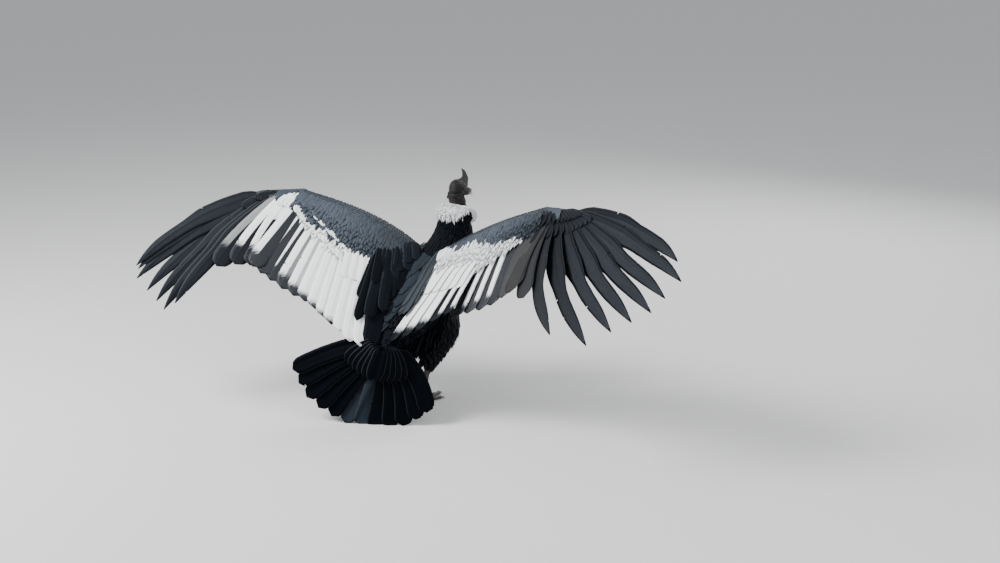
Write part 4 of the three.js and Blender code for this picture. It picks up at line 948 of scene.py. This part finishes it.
def forearmFeathers(f):
    pose = f.pose

    def row(count, lift, rise, back, fanMore, length, width, more):
        t = ladder(count)
        fan, droop = run(pose["secondaryFan"], t) + fanMore, run(pose["secondaryDroop"], t)
        way = -1 if more.get("under") else 1
        root = mix(pose["wrist"], f.elbow, mix(0.08, 0.97, t)[:, None]) + f.n * lift * way + f.c * back
        reach = run([length, length] if np.isscalar(length) else length, t)
        tip = root + f.way(fan, droop) * reach[:, None] + f.n * rise * way
        if back and way > 0:  # the upper coverts turn white behind the line where the white begins
            own = root - pose["shoulder"]
            isWhite = own @ f.c + 0.045 > run(pose["covertWhite"], f.shareOf(own))
            more = dict(more, white=np.where(isWhite, 2, 0), tone=np.where(isWhite[:, None], dusk, slate))
        return f.batch(root, tip, fan, width, sag=0.01 * reach * way, **more)

    batches = [row(pose["secondaries"], 0, 0, 0, 0, pose["secondaryLength"], 0.096, {
        "rows": 20, "notches": 2, "seed": 41, "tone": pose["secondaryTone"], "white": pose["secondaryWhite"],
        "dark": pose["secondaryDark"]})]
    return batches + [row(*numbers, dict(more, profile="round")) for *numbers, more in covertRows]


# Three tiers of scapulars, the long ones first: how many more, lift from and to, back, more fan, width, seed
scapularTiers = ((0, 0.014, 0.024, -0.020, 0, 0.052, 53), (2, 0.012, 0.020, -0.015, -1, 0.052, 55),
                 (0, 0.018, 0.028, -0.030, 2, 0.046, 54))


def armFeathers(f):
    pose = f.pose

    def row(count, fans, along, lift, back, lengths, width, droop, **more):
        t = ladder(count)
        fan = mix(*fans, t)
        root = mix(f.elbow, pose["shoulder"], mix(*along, t)[:, None]) + f.n * mix(*lift, t)[
            :, None] + f.c * back
        tip = root + f.way(fan, np.full(count, float(droop))) * run(lengths, t)[:, None]
        return f.batch(root, tip, fan, width, sag=0.005, rows=18, notches=2, **more)

    batches = [
        row(pose["tertials"], pose["tertialFan"], (0.1, 0.75), (0.003, 0.008), 0, pose["tertialLength"], 0.092,
            -1, seed=51, white=pose["tertialWhite"], dark=pose["tertialDark"]),
        row(8, (106, 120), (0.1, pose["innerTo"]), (0.009, 0.014), -0.010, [0.190, 0.230, 0.250], 0.070, -2,
            seed=52, loose=0.02, white=pose["innerCoverts"])]
    first, last = pose["scapularFan"]
    for lengths, tier in zip(pose["scapularLength"], scapularTiers):
        extra, low, high, back, fanMore, width, seed = tier
        count = pose["scapulars"] + extra
        # on the right wing these tones and pale edges hold painted light
        tone = mix(*np.array(pose["scapularTone"]), ladder(count)[:, None])
        batches.append(row(
            count, (first + fanMore, last + fanMore), (pose["scapularsFrom"], pose["scapularsTo"]),
            (low, high + pose["scapularLift"]), back, lengths, width, -3, seed=seed, tone=tone, loose=0.05,
            pale=pose["scapularPale"]))
    return batches


for name, f in wings.items():
    coat(name + "HandFeathers", handFeathers(f), blackFeather,
         "black_feathers", name + "_wing_hand", small=False)
    coat(name + "ForearmFeathers", forearmFeathers(f), whiteFeather,
         "white_feathers", name + "_wing_forearm", small=False)
    coat(name + "ArmFeathers", armFeathers(f), blackFeather if name == "right" else jetFeather,
         "slate_feathers", name + "_wing_arm", small=False)
    coat(name + "ArmCoat", armCoat(f), blackFeather, "slate_feathers")
print("wings made")

# Mantle and tail
mantle = {
    "startY": 0.150, "right": 0.062, "left": -0.034, "from": 0.66, "to": 0.08, "rows": 12, "columns": 8,
    # shade is the painted sheen: it makes the mantle's smoke twice as light
    "across": 0.130, "sunk": 0.006, "round": 0.04, "length": 0.120, "rise": 0.014, "width": 0.031, "shade": 2,
}
mantleWay = unit(vec(-0.27, -0.73, -0.63))
mantleHigh = square(vec(0, -0.65, 0.76), mantleWay)
mantleSide = unit(np.cross(mantleHigh, mantleWay))


def mantleFeathers():
    rng = np.random.default_rng(61)
    roots, tips, places = [], [], []
    for row in range(mantle["rows"]):
        t = np.array(mix(mantle["from"], mantle["to"], row / (mantle["rows"] - 1)))
        lean = math.radians(float(run(body["lean"], t)))
        high = vec(0, -math.sin(lean), math.cos(lean))
        back = vec(*(float(run(body[k], t)) for k in ("sideways", "backY", "backZ")))
        middle = (mantle["right"] + mantle["left"]) / 2 + mantleWay[0] * (
            back[1] - mantle["startY"]) / mantleWay[1]
        for column in range(mantle["columns"]):
            u = (column + (row % 2) * 0.5) / (mantle["columns"] - 0.5) - 0.5
            across = middle + u * mantle["across"]
            root = back + high * (-mantle["sunk"] - (across / 0.15) ** 2 * mantle["round"])
            root[0] = across
            length = mantle["length"] + rng.uniform(-0.01, 0.01)
            roots.append(root)
            tips.append(root + mantleWay * length + high * mantle["rise"])
            places.append(onTrunkMap(t, math.pi * (0.5 - across / 0.25)))
    root, tip, place = map(np.array, (roots, tips, places))
    normal, outer = (np.tile(way, (len(root), 1)) for way in (mantleHigh, mantleSide))
    # painted sheen: the back's black is given smoke made twice as light, with pale edges, for its blue sheen
    return featherBatch(root, tip, normal, outer, mantle["width"], place, "round", 10, sag=0.004, tilt=3,
                        seed=62, tone=np.array(smoke) * mantle["shade"], pale=0.7, notches=1, loose=0.05)


coat("mantleFeathers", [mantleFeathers()], jetFeather, "black_feathers", small=False)

tail = {
    "root": vec(-0.002, -0.240, 0.332), "down": unit(vec(-0.202, -0.355, -0.914)),
    "across": unit(vec(0.919, 0.266, -0.301)), "fanLeft": 51, "fanRight": 48, "rootWidth": 0.100,
    "length": [0.372, 0.382, 0.370, 0.356, 0.338, 0.305], "bowLeft": 0.04, "bowRight": 0.1, "paintedHighlight": (5, 6),
    "feathers": 12, "sunk": 0.014, "sideSunk": 0.010, "arch": 0.009, "lit": (1.6, 1.4),
}
tailNormal = unit(np.cross(tail["across"], tail["down"]))
# Of each row of tail coverts: how many, width, length, lift, rise, spread, seed
tailRows = ((11, 0.056, 0.175, 0.010, -0.004, 0.8, 72), (9, 0.050, 0.110, 0.017, -0.002, 0.7, 73),
            (11, 0.054, 0.150, -0.020, 0.006, 0.8, 74))


def tailRow(count, width, lengths, lift, rise, spread, seed, under=False, **more):
    t = ladder(count)
    fan = np.radians(mix(-tail["fanLeft"], tail["fanRight"], t) * spread)[:, None]
    way = -1 if under else 1
    centred = 1 - np.abs(2 * t - 1)
    aside = (t - 0.5) * tail["rootWidth"] * spread
    root = tail["root"] + tail["across"] * aside[:, None] + tail["down"] * (
        tail["sunk"] - tail["sideSunk"] * (1 - centred))[:, None] + tailNormal * (
        lift + tail["arch"] * centred * way)[:, None]
    length = run(lengths, t)
    ahead = tail["down"] * np.cos(fan) + tail["across"] * np.sin(fan)
    tip = root + ahead * length[:, None] + tailNormal * rise
    bow = np.where(t < 0.5, tail["bowLeft"], tail["bowRight"]) * np.abs(2 * t - 1) * length
    place = np.stack([(0.75 if under else 0.25) + aside * 4, np.full(count, 0.3 + 12 * lift)], -1)
    normal, outer = np.tile(tailNormal * way, (count, 1)), tail["across"] * np.where(fan < 0, -1, 1)
    return featherBatch(root, tip, normal, outer, width, place, bow=bow, sag=0.003, tilt=7, seed=seed, **more)


def tailFeathers():
    count = tail["feathers"]
    # the two middle tail feathers carry the painted highlight, the others jet
    shine = np.array([paintedHighlight if i in tail["paintedHighlight"] else jet for i in range(count)])
    batches = [tailRow(count, 0.078, tail["length"], -0.006, 0, 1, 71, rows=22, notches=2, pale=0.1,
                       loose=0.006, tone=shine)]
    for (count, width, length, *numbers), rows in zip(tailRows, (12, 10, 10)):
        more = {"under": True, "tone": jet, "pale": 0.2}
        if len(batches) < 3:  # above, the middle feathers are the palest
            # painted light: the middle upper coverts are made palest, the outer ones less
            high, less = tail["lit"]
            shade = high - less * np.abs(2 * ladder(count) - 1)
            more = {"tone": np.outer(shade, smoke), "pale": 0.06, "loose": 0.02}
        batches.append(tailRow(count, width, [length] * 2, *numbers, profile="round", rows=rows, **more))
    return batches


coat("tailFeathers", tailFeathers(), jetFeather, "black_feathers", "tail", small=False)
print("tail made")

# Ruff: a puffed collar of down, parted on the right by a dark notch
ruff = {
    "height": 0.068, "radius": [0.062, 0.078, 0.084, 0.077, 0.049], "bulge": 0.012, "foot": 0.0003,
    "top": 0.003, "apex": 20, "rise": 0.72, "rearSlope": 75, "frontSlope": 40, "inset": 0.004,
    "lumps": 0.03, "lumpHeight": 0.0015, "tufts": 6100, "tuftSunk": 0.005,
    "tuftLength": (0.014, 0.023), "tuftLift": (0.003, 0.0065), "tuftWidth": (0.005, 0.0085), "napeLonger": 1.7,
}
lean = math.radians(body["lean"][-1])
neckHigh = vec(0, -math.sin(lean), math.cos(lean))
neckCentre = vec(body["sideways"][-1], body["backY"][-1], body["backZ"][-1]) - neckHigh * body["depth"][-1] / 2
neckAxis = unit(np.cross(neckHigh, vec(1, 0, 0)))


def onCollar(angle, radius, height):
    angle, radius, height = (np.asarray(x, float)[..., None] for x in (angle, radius, height))
    around = vec(1, 0, 0) * radius * np.cos(angle)
    return neckCentre + around + neckHigh * radius * np.sin(angle) + neckAxis * height


def ruffRadius(t, angle):
    nape = np.clip(np.sin(angle), 0, 1)
    return run(ruff["radius"], t) + ruff["bulge"] * np.sin(math.pi * np.minimum(1, t + 0.15)) * nape


def onRuff(t, angle, sunk):
    height = ruff["foot"] + t * (ruff["height"] - ruff["top"])
    return onCollar(angle, ruffRadius(t, angle) - sunk, height)


def blackTo(angle):  # how far up the collar the black of the breast rises, to a point at the right
    turn = (np.degrees(angle) - ruff["apex"] + 180) % 360 - 180
    return ruff["rise"] * np.where(turn > 0, 1 - turn / ruff["rearSlope"], 1 + turn / ruff["frontSlope"])


def ruffSkin():
    angle = np.linspace(0, 2 * math.pi, 72, endpoint=False)
    core = lofted("ruffSkin", [[onRuff(t, angle, ruff["inset"]) for t in np.linspace(0, 1, 18)]], whiteDown)
    points = pointsOf(core)
    own = points - neckCentre
    lump = grain(points, ruff["lumps"], 3) * ruff["lumpHeight"]
    movePoints(core, points + normalsOf(core) * lump[:, None])
    dark = (own @ neckAxis) / ruff["height"] < blackTo(np.arctan2(own @ neckHigh, own[:, 0]))
    setTone(core.data, np.where(dark[:, None], black, white))
    settle(core, "white_down", "ruff")


def ruffDown():
    rng = np.random.default_rng(81)
    count = ruff["tufts"]
    t = rng.uniform(0.0, 1, count) ** 0.8
    angle = rng.uniform(0, 2 * math.pi, count)
    spot = onRuff(t, angle, ruff["tuftSunk"])
    upper, lower = (
        onCollar(angle, ruffRadius(s, angle), s * ruff["height"])
        for s in (np.clip(t + 0.05, 0, 1), np.clip(t - 0.05, 0, 1)))
    upward = unit(upper - lower)
    outward = unit(np.cross(onCollar(angle + 0.01, 1, 0) - onCollar(angle - 0.01, 1, 0), upward))
    outward *= np.where(dot(outward, onCollar(angle, 1, 0) - neckCentre) < 0, -1, 1)
    dark = t + rng.normal(size=count) * 0.03 < blackTo(angle)
    lie = unit(-upward + outward * 0.10 + rng.normal(size=(count, 3)) * 0.13)
    nape = np.clip(np.sin(angle), 0, 1) * ease(0.6, 0.2, t)
    length = rng.uniform(*ruff["tuftLength"], count) * (1 + ruff["napeLonger"] * nape)
    tip = spot + lie * length[:, None] + outward * rng.uniform(*ruff["tuftLift"], (count, 1))
    tone = np.where(dark[:, None], black, np.array(white) * rng.uniform(1.02, 1.14, (count, 1)))
    place = np.stack([0.02 + 0.96 * angle / (2 * math.pi), 0.02 + 0.96 * t], -1)
    width = rng.uniform(*ruff["tuftWidth"], count)
    return featherBatch(spot, tip, outward, np.cross(outward, lie), width, place, "tuft", 5, 3, sag=0.0025,
                        tilt=0, thick=0.0005, shaft=0, cup=0.12, seed=82, tone=tone, rachis=0.0002)


ruffSkin()
coat("ruffDown", [ruffDown()], whiteDown, "white_down")
print("ruff made")


# Bare skin of the head and neck
def skinFinish(name, deep, lit, scale, bump, rough=0.62, gloss=0.5):
    material, tree, shader = finish(name, rough, {"Specular IOR Level": gloss})
    place = node(tree, "TexCoord").outputs["Object"]
    broad, fine = noise(tree, place, scale * 0.25), noise(tree, place, scale * 2.0)
    cells = node(tree, "TexVoronoi", {"Vector": place, "Scale": scale}, feature="DISTANCE_TO_EDGE").outputs[0]
    ramp = times(tree, minus(tree, broad, 0.3), 2.4, clamp=True)
    crease = times(tree, minus(tree, 0.12, cells), 4.0, clamp=True)
    colour = blend(tree, ramp, (*deep, 1), (*lit, 1))
    colour = blend(tree, crease, colour, tuple(c * 0.45 for c in deep) + (1,))
    height = plus(tree, calc(tree, "MINIMUM", cells, 0.2), times(tree, fine, 0.3))
    feed(tree, shader, colour, height, bump, 0.0012)
    return material


headSkinPaint = skinFinish("headSkinPaint", (0.006, 0.0053, 0.0057), (0.017, 0.0138, 0.0142), 520, 0.7,
                           gloss=0.25)
combPaint = skinFinish("combPaint", (0.010, 0.0105, 0.012), (0.028, 0.029, 0.033), 420, 0.8, 0.55, 0.35)
neckTop = inHead(vec(0, -0.024, -0.018))
neckStart = neckCentre + neckAxis * ruff["foot"]
ruffTop = neckCentre + neckAxis * (ruff["height"] + ruff["foot"])
neckLine = np.array([neckStart, ruffTop, mix(ruffTop, neckTop, 0.55) + vec(0, -0.003, 0), neckTop])
face = {
    "chinTaper": 0.14, "neckRadius": 0.0355, "neckFold": 0.0014, "foldStep": 1.25, "neckDeep": 1.06,
    "lid": 0.0024, "opening": (0.0088, 0.0074, 0.0052), "ballDepth": 0.9,
    "creases": ((0.0016, 0.0026), (0.0011, 0.0050)), "creaseWide": 0.0009, "creaseReach": 0.02,
    "nostril": vec(0.0145, 0.062, -0.003), "nostrilSize": (0.005, 0.006, 0.0026), "nostrilDeep": 0.004,
    "mouth": -0.016, "mouthLine": [0.003, 0, -0.0015], "mouthWide": 0.0013, "mouthDeep": 0.0042,
    "ear": vec(0.031, -0.018, -0.004), "earSize": (0.006, 0.0055, 0.0065), "earDeep": 0.0035,
    "wrinkle": 0.0014, "fineWrinkle": 0.0004, "neckRipple": 0.0008, "neckFrom": -0.028,
}


def gazeWay(sign):
    return unit(vec(sign, 0.35, 0.08))


def skullRings():
    rings = []
    for t in np.linspace(0, 1, 26):
        centre = vec(0, float(run(head["y"], t)), float(run(head["z"], t)))
        ring = ringAt(centre, vec(1, 0, 0), vec(0, 0, 1), run(head["wide"], t), run(head["high"], t), 36,
                      lambda c, s: (c * (1 - face["chinTaper"] * np.maximum(0, -s)), s))
        rings.append(inHead(ring))
    return rings


def neckRings():
    rings = []
    for i, t in enumerate(np.linspace(0.2, 1, 40)):
        ahead = unit(run(neckLine, min(1, t + 0.02)) - run(neckLine, max(0, t - 0.02)))
        side = square(vec(1, 0, 0), ahead)
        radius = face["neckRadius"] + face["neckFold"] * math.sin(i * face["foldStep"])
        rings.append(ringAt(run(neckLine, t), side, np.cross(side, ahead), radius,
                            radius * face["neckDeep"], 40))
    return rings


def lidRings(eye):
    lid = head["eyeRadius"] + face["lid"]
    return [
        ringAt(eye + headTurn[:, 2] * lid * 0.96 * math.cos(a), headTurn[:, 0], headTurn[:, 1],
               lid * math.sin(a), lid * 1.12 * math.sin(a), 20)
        for a in np.linspace(0.15, math.pi - 0.15, 12)]


def wattleRings():  # from the chin to the upper neck
    rings = []
    for t in np.linspace(0, 1, 14):
        centre = vec(0, mix(0.040, -0.008, t), mix(-0.026, -0.054, t))
        deep = 0.006 + 0.015 * math.sin(math.pi * t)
        thick = 0.004 + 0.003 * math.sin(math.pi * t)
        rings.append(inHead(ringAt(centre, vec(1, 0, 0), vec(0, 0.5, -0.86), thick,
                                   deep * (1 + 0.05 * math.sin(t * 30)), 16)))
    return rings


def foldRings(sign, fold):  # one of the folds of loose skin down each side behind the eye
    line = np.array([
        vec(sign * 0.027, 0.004 - 0.012 * fold, -0.006 - 0.002 * fold),
        vec(sign * 0.0325, -0.004 - 0.012 * fold, -0.030),
        vec(sign * 0.0305, -0.022 - 0.010 * fold, -0.054)])
    rings = []
    for t in np.linspace(0, 1, 14):
        ahead = unit(run(line, min(1, t + 0.05)) - run(line, max(0, t - 0.05)))
        side = square(vec(sign, 0, 0), ahead)
        thick = 0.0018 + 0.0032 * math.sin(math.pi * t) * (1 + 0.12 * math.sin(t * 22 + fold))
        rings.append(inHead(ringAt(run(line, t), side, np.cross(side, ahead), thick, thick * 0.8, 12)))
    return rings


def carveFace(points, own, normals, eye, sign):
    def pit(place, size):
        return np.sum(((own - place * vec(sign, 1, 1)) / size) ** 2, -1)

    # The lids part over the eye, with creases round the opening
    front = head["eye"] * vec(sign, 1, 1) + gazeWay(sign) * head["eyeRadius"]
    opening = np.sum(((own - front) / face["opening"]) ** 2, -1)
    away = (points - eye)[opening < 1]
    reach = np.linalg.norm(away, axis=1)
    points[opening < 1] = eye + away / reach[:, None] * head["eyeRadius"] * face["ballDepth"]
    for deep, wide in face["creases"]:
        near = np.exp(-(((np.sqrt(opening) - 1) * 0.006 - wide) / face["creaseWide"]) ** 2) * (
            np.linalg.norm(own - front, axis=1) < face["creaseReach"])
        points -= normals * (near * deep * 0.5)[:, None]
    inward = headTurn[:, 0] * sign
    nostril = np.exp(-pit(face["nostril"], face["nostrilSize"]) ** 2 * 1.2)
    # The mouth line runs back under the eye
    mouth = face["mouth"] + run(face["mouthLine"], np.clip((own[:, 1] - 0.018) / 0.058, 0, 1))
    line = np.exp(-((own[:, 2] - mouth) / face["mouthWide"]) ** 2) * ease(0.014, 0.022, own[:, 1]) * (
        own[:, 0] * sign > 0.004)
    ear = np.exp(-pit(face["ear"], face["earSize"]) ** 2)
    for share, deep in ((nostril, face["nostrilDeep"]), (line, face["mouthDeep"]), (ear, face["earDeep"])):
        points -= np.outer(share * deep, inward)


def headSkin(eyes):
    groups = [skullRings(), neckRings(), *map(lidRings, eyes), wattleRings()]
    groups.extend(foldRings(sign, fold) for sign in (1, -1) for fold in range(3))
    piece = lofted("headSkin", groups, headSkinPaint)
    remeshed(piece, 0.0013, 3)
    points, normals = pointsOf(piece), normalsOf(piece)
    own = (points - head["centre"]) @ headTurn
    for sign, eye in zip((1, -1), eyes):
        carveFace(points, own, normals, eye, sign)
    movePoints(piece, points)
    calm = ease(0.009, 0.018, np.minimum(*(np.linalg.norm(points - eye, axis=1) for eye in eyes)))
    wrinkle = np.abs(grain(own * (1, 1, 1.8), 0.011, 7)) * face["wrinkle"] + grain(own, 0.004, 5) * face[
        "fineWrinkle"]
    along = (points - neckCentre) @ neckAxis
    ripple = np.sin(along * 900 + grain(points, 0.03, 9) * 1.5) * face["neckRipple"] * (
        own[:, 2] < face["neckFrom"])
    movePoints(piece, points - normalsOf(piece) * ((wrinkle * calm) - ripple)[:, None])
    settle(piece, "bare_skin", "head", "neck")
    print("headSkin triangles", len(piece.data.polygons) * 2)


def eyeFinish():
    material, tree, shader = finish("eyeGlass", 0.08, {"Coat Weight": 1.0, "Coat Roughness": 0.02})
    gaze = fromMap(tree, "gaze")
    fromMiddle = parts(tree, gaze)[1]
    iris = blend(tree, noise(tree, gaze, 60.0, 2.0), (0.030, 0.013, 0.006, 1), (0.10, 0.045, 0.018, 1))
    colour = blend(tree, calc(tree, "LESS_THAN", fromMiddle, 0.145), iris, (0.002, 0.002, 0.002, 1))
    outside = calc(tree, "GREATER_THAN", fromMiddle, 0.31)
    feed(tree, shader, blend(tree, outside, colour, (0.012, 0.009, 0.008, 1)))
    return material


def eyeBall(name, eye, sign, part):
    outward = unit(headTurn @ gazeWay(sign))
    side = square(vec(0, 0, 1), outward)
    high = np.cross(outward, side)
    place = Matrix.Translation(Vector(eye + shift)) @ Matrix((side, high, outward)).transposed().to_4x4()
    made = bmesh.new()
    bmesh.ops.create_uvsphere(made, u_segments=28, v_segments=18, radius=head["eyeRadius"], matrix=place)
    piece = linked(name, meshOf(name, made), eyePaint)
    own = pointsOf(piece) - eye
    polar = np.arccos(np.clip((own @ outward) / head["eyeRadius"], -1, 1)) / math.pi
    swing = np.arctan2(own @ high, own @ side) / (2 * math.pi) + 0.5
    setMap(piece.data, "gaze", np.stack([swing, polar], -1))
    settle(piece, "eye", part)


eyePaint = eyeFinish()
eyes = [inHead(head["eye"] * vec(sign, 1, 1)) for sign in (1, -1)]
headSkin(eyes)
eyeBall("rightBall", eyes[0], 1, "right_eye")
eyeBall("leftBall", eyes[1], -1, "left_eye")

comb = {
    "height": [0, 0.022, 0.038, 0.048, 0.062, 0.074, 0.084, 0.090],
    "rear": [-0.038, -0.034, -0.018, 0.008, 0.017, 0.014, 0.006, 0.001],
    "front": [0.073, 0.074, 0.074, 0.071, 0.063, 0.049, 0.033, 0.015],
    "halfThick": 0.006, "thinning": 0.6, "edge": (0.62, 0.38), "wave": 0.0012, "waves": 17, "fold": 0.0014,
}


def combShape(c, s):  # thin along the middle and fuller at its two edges
    thin, more = comb["edge"]
    return c, s * (thin + more * np.abs(c) ** 3)


def combPiece():
    rings = []
    for t in np.linspace(0, 1, 34):
        z, rear, front = (float(run(comb[k], t)) for k in ("height", "rear", "front"))
        wave = comb["wave"] * math.sin(t * comb["waves"])
        thick = comb["halfThick"] * (1 - comb["thinning"] * t ** 2)
        rings.append(inHead(ringAt(vec(0, (front + rear) / 2 + wave, z), vec(0, 1, 0), vec(1, 0, 0),
                                   (front - rear) / 2, thick, 64, combShape)))
    piece = lofted("comb", [rings], combPaint)
    points = pointsOf(piece)
    own = (points - head["centre"]) @ headTurn
    fold = np.abs(grain(own * (0.3, 1, 1), 0.010, 12)) * comb["fold"]
    movePoints(piece, points - normalsOf(piece) * fold[:, None])
    settle(piece, "comb_skin", "comb")


def billFinish():
    material, tree, shader = finish("billHorn", 0.32)
    along = parts(tree, fromMap(tree, "grow"))[0]
    mottle = noise(tree, node(tree, "TexCoord").outputs["Object"], 260.0)
    wave = times(tree, minus(tree, mottle, 0.5), 0.35)
    light = times(tree, minus(tree, plus(tree, along, wave), 0.30), 3.2, clamp=True)
    colour = blend(tree, light, (0.040, 0.036, 0.034, 1), (0.62, 0.56, 0.42, 1))
    feed(tree, shader, colour, mottle, 0.25, 0.0005)
    return material


bill = {"upper": 0.046, "lower": 0.033, "mouth": -0.016, "gap": 0.0003, "least": 0.0016}


def boxy(c, s):
    return np.sign(c) * np.abs(c) ** 0.7, np.sign(s) * np.abs(s) ** 0.8


def billPiece(name, lower):
    y0, z0, wide0, high0 = head["y"][-1] + bill["gap"], head["z"][-1], head["wide"][-1], head["high"][-1]
    length, mouth = bill["lower" if lower else "upper"], bill["mouth"]
    rings = []
    for t in np.linspace(0, 1, 30):
        y = y0 + length * t
        if lower:
            top, foot = mouth - bill["gap"] - 0.002 * t, z0 - high0 + 0.003 + 0.005 * t
        else:  # the ridge falls and the tip hooks down and a little back
            top, foot = z0 + high0 - 0.007 * t ** 2 - 0.024 * t ** 5, mouth + bill["gap"] - 0.014 * t ** 7
            y -= 0.004 * t ** 8
        wide = max(wide0 * math.sqrt(1.02 - t ** 2.2), bill["least"])
        rings.append(inHead(ringAt(vec(0, y, (top + foot) / 2), vec(1, 0, 0), vec(0, 0, 1), wide,
                                   (top - foot) / 2, 32, boxy)))
    piece = lofted("bill" + name, [rings], billPaint)
    own = (pointsOf(piece) - head["centre"]) @ headTurn
    setMap(piece.data, "grow", np.stack([(own[:, 1] - y0) / length, own[:, 2] * 10 + 0.5], -1))
    settle(piece, "bill_horn", "bill_lower" if lower else "bill_upper")


combPiece()
billPaint = billFinish()
billPiece("Upper", False)
billPiece("Lower", True)
print("head made")

# Legs and claws
legPaint = skinFinish("legScales", (0.020, 0.019, 0.019), (0.075, 0.070, 0.066), 230, 1.0, 0.5)
clawPaint = skinFinish("clawHorn", (0.008, 0.008, 0.008), (0.03, 0.027, 0.024), 120, 0.15, 0.3)
scales = {"deep": 0.0009, "toe": 520, "toeFrom": 0.030, "shank": 420, "shankFrom": 0.05}


def toeWay(sign, toe):
    turn = math.radians(toe["turn"])
    way = vec(sign * math.sin(turn), math.cos(turn), 0)
    return way, vec(way[1], -way[0], 0)


def shankRings(foot, ankle):
    rings = []
    for t in np.linspace(-0.05, 1.15, 26):
        s = max(t, 0)
        centre = vec(mix(ankle[0], foot[0], t), mix(ankle[1], foot[1] - 0.008, min(s, 1) ** 0.9),
                     mix(leg["ankle"][2], leg["top"], t))
        radius = leg["shankRadius"] + 0.0045 * math.exp(-(s * 5) ** 2) + 0.0025 * min(s, 1) ** 3 - 0.0004
        rings.append(ringAt(centre, vec(1, 0, 0), vec(0, 1, 0), radius, radius * 1.1, 24))
    return rings


def palmRings(foot):
    middle = vec(foot[0], foot[1] - 0.004, 0.020)
    wide, deep, high = leg["palm"]
    return [ringAt(middle + vec(0, 0, high * math.cos(a)), vec(1, 0, 0), vec(0, 1, 0),
                   wide * math.sin(a), deep * math.sin(a), 24) for a in np.linspace(0.12, math.pi - 0.12, 14)]


def toeRings(foot, sign, toe):
    way, side = toeWay(sign, toe)
    rings = []
    for t in np.linspace(0, 1, 34):
        pad = 1 - 0.07 * (1 + math.cos(2 * math.pi * t * 2.5))
        wide = toe["radius"] * mix(1.15, 0.72, t) * pad
        high = toe["radius"] * mix(1.5, 0.85, t) * pad
        centre = vec(foot[0], foot[1], 0) + way * toe["length"] * t + vec(0, 0, high * 0.86)
        rings.append(ringAt(centre, side, vec(0, 0, 1), wide, high, 16))
    return rings


def onFloor(piece, points):  # none of its points lies under the floor
    points[:, 2] = np.maximum(points[:, 2], 0)
    movePoints(piece, points)


def clawPiece(name, foot, sign, toe):
    way, side = toeWay(sign, toe)
    base = vec(foot[0], foot[1], 0) + way * (toe["length"] - 0.003)
    radius = toe["radius"] * 0.62
    rings = []
    for t in np.linspace(0, 1, 16):
        high = radius * (1 - 0.86 * t ** 1.2)
        lift = max(mix(radius * 1.2, high + 0.0002, t ** 1.7), high)
        centre = base + way * (toe["claw"] + 0.003) * t + vec(0, 0, lift)
        ahead = unit(way + vec(0, 0, -0.45 * t))
        rings.append(ringAt(centre, side, np.cross(side, ahead), high * 0.8, high, 14))
    claw = lofted(name + toe["name"].capitalize() + "Claw", [rings], clawPaint)
    onFloor(claw, pointsOf(claw))
    settle(claw, "claw_horn", name + "_" + toe["name"] + "_claw")


def legPieces(name, sign):
    foot, ankle = leg["foot"] * vec(sign, 1, 1), leg["ankle"] * vec(sign, 1, 1)
    groups = [shankRings(foot, ankle), palmRings(foot), *(toeRings(foot, sign, toe) for toe in toes)]
    piece = lofted(name + "Leg", groups, legPaint)
    remeshed(piece, 0.0018, 2)
    points, normals = pointsOf(piece), normalsOf(piece)
    scute = np.zeros(len(points))
    for toe in toes:  # broad scales across the top of each toe
        along, across = ((points - vec(foot[0], foot[1], 0)) @ way for way in toeWay(sign, toe))
        onTop = (np.abs(across) < toe["radius"] * 1.2) & (points[:, 2] > toe["radius"])
        on = (along > scales["toeFrom"]) & onTop
        scute = np.where(on, np.abs(np.sin(along * scales["toe"])) * scales["deep"], scute)
    band = np.abs(np.sin(points[:, 2] * scales["shank"])) * scales["deep"]
    scute = np.where(points[:, 2] > scales["shankFrom"], band * ease(-0.3, 0.6, normals[:, 1]), scute)
    onFloor(piece, points + normals * scute[:, None])
    settle(piece, "leg_scales", name + "_shank", name + "_foot")
    for toe in toes:
        clawPiece(name, foot, sign, toe)


legPieces("right", 1)
legPieces("left", -1)
print("legs made")

# Camera, light and floor
view = {"azimuth": 28, "elevation": 15, "place": vec(3.1243, -5.0576, 2.1467), "lens": 50.23}
lamps = {  # place, size and power
    "key": ((-2.9, -2.6, 4.3), 2.4, 560), "side": ((4.2, -1.2, 2.8), 2.6, 110),
    "front": ((0.8, 4.6, 3.2), 3.0, 150)}
sky = {"Color": (0.86, 0.88, 0.92, 1), "Strength": 0.74}


def setStage():
    camera = bpy.data.objects.new("camera", bpy.data.cameras.new("camera"))
    camera.data.lens = view["lens"]
    camera.data.sensor_width = 36
    camera.data.clip_end = 300
    camera.location = view["place"] + shift
    camera.rotation_euler = (math.radians(90 - view["elevation"]), 0, math.radians(view["azimuth"]))
    bpy.context.scene.collection.objects.link(camera)
    bpy.context.scene.camera = camera
    for name, (place, size, power) in lamps.items():
        lamp = bpy.data.objects.new(name, bpy.data.lights.new(name, "AREA"))
        lamp.data.size = size
        lamp.data.energy = power
        lamp.location = Vector(place)
        lamp.rotation_euler = (Vector((0, 0, 0.6)) - lamp.location).to_track_quat("-Z", "Y").to_euler()
        bpy.context.scene.collection.objects.link(lamp)
    world = bpy.data.worlds.new("studio")
    world.use_nodes = True
    for key, value in sky.items():
        world.node_tree.nodes["Background"].inputs[key].default_value = value
    bpy.context.scene.world = world
    made = bmesh.new()
    bmesh.ops.create_grid(made, x_segments=1, y_segments=1, size=90)
    paint = finish("floorPaint", 0.8, {"Base Color": (0.60, 0.60, 0.59, 1)})[0]
    linked("floor", meshOf("floor", made), paint)


setStage()
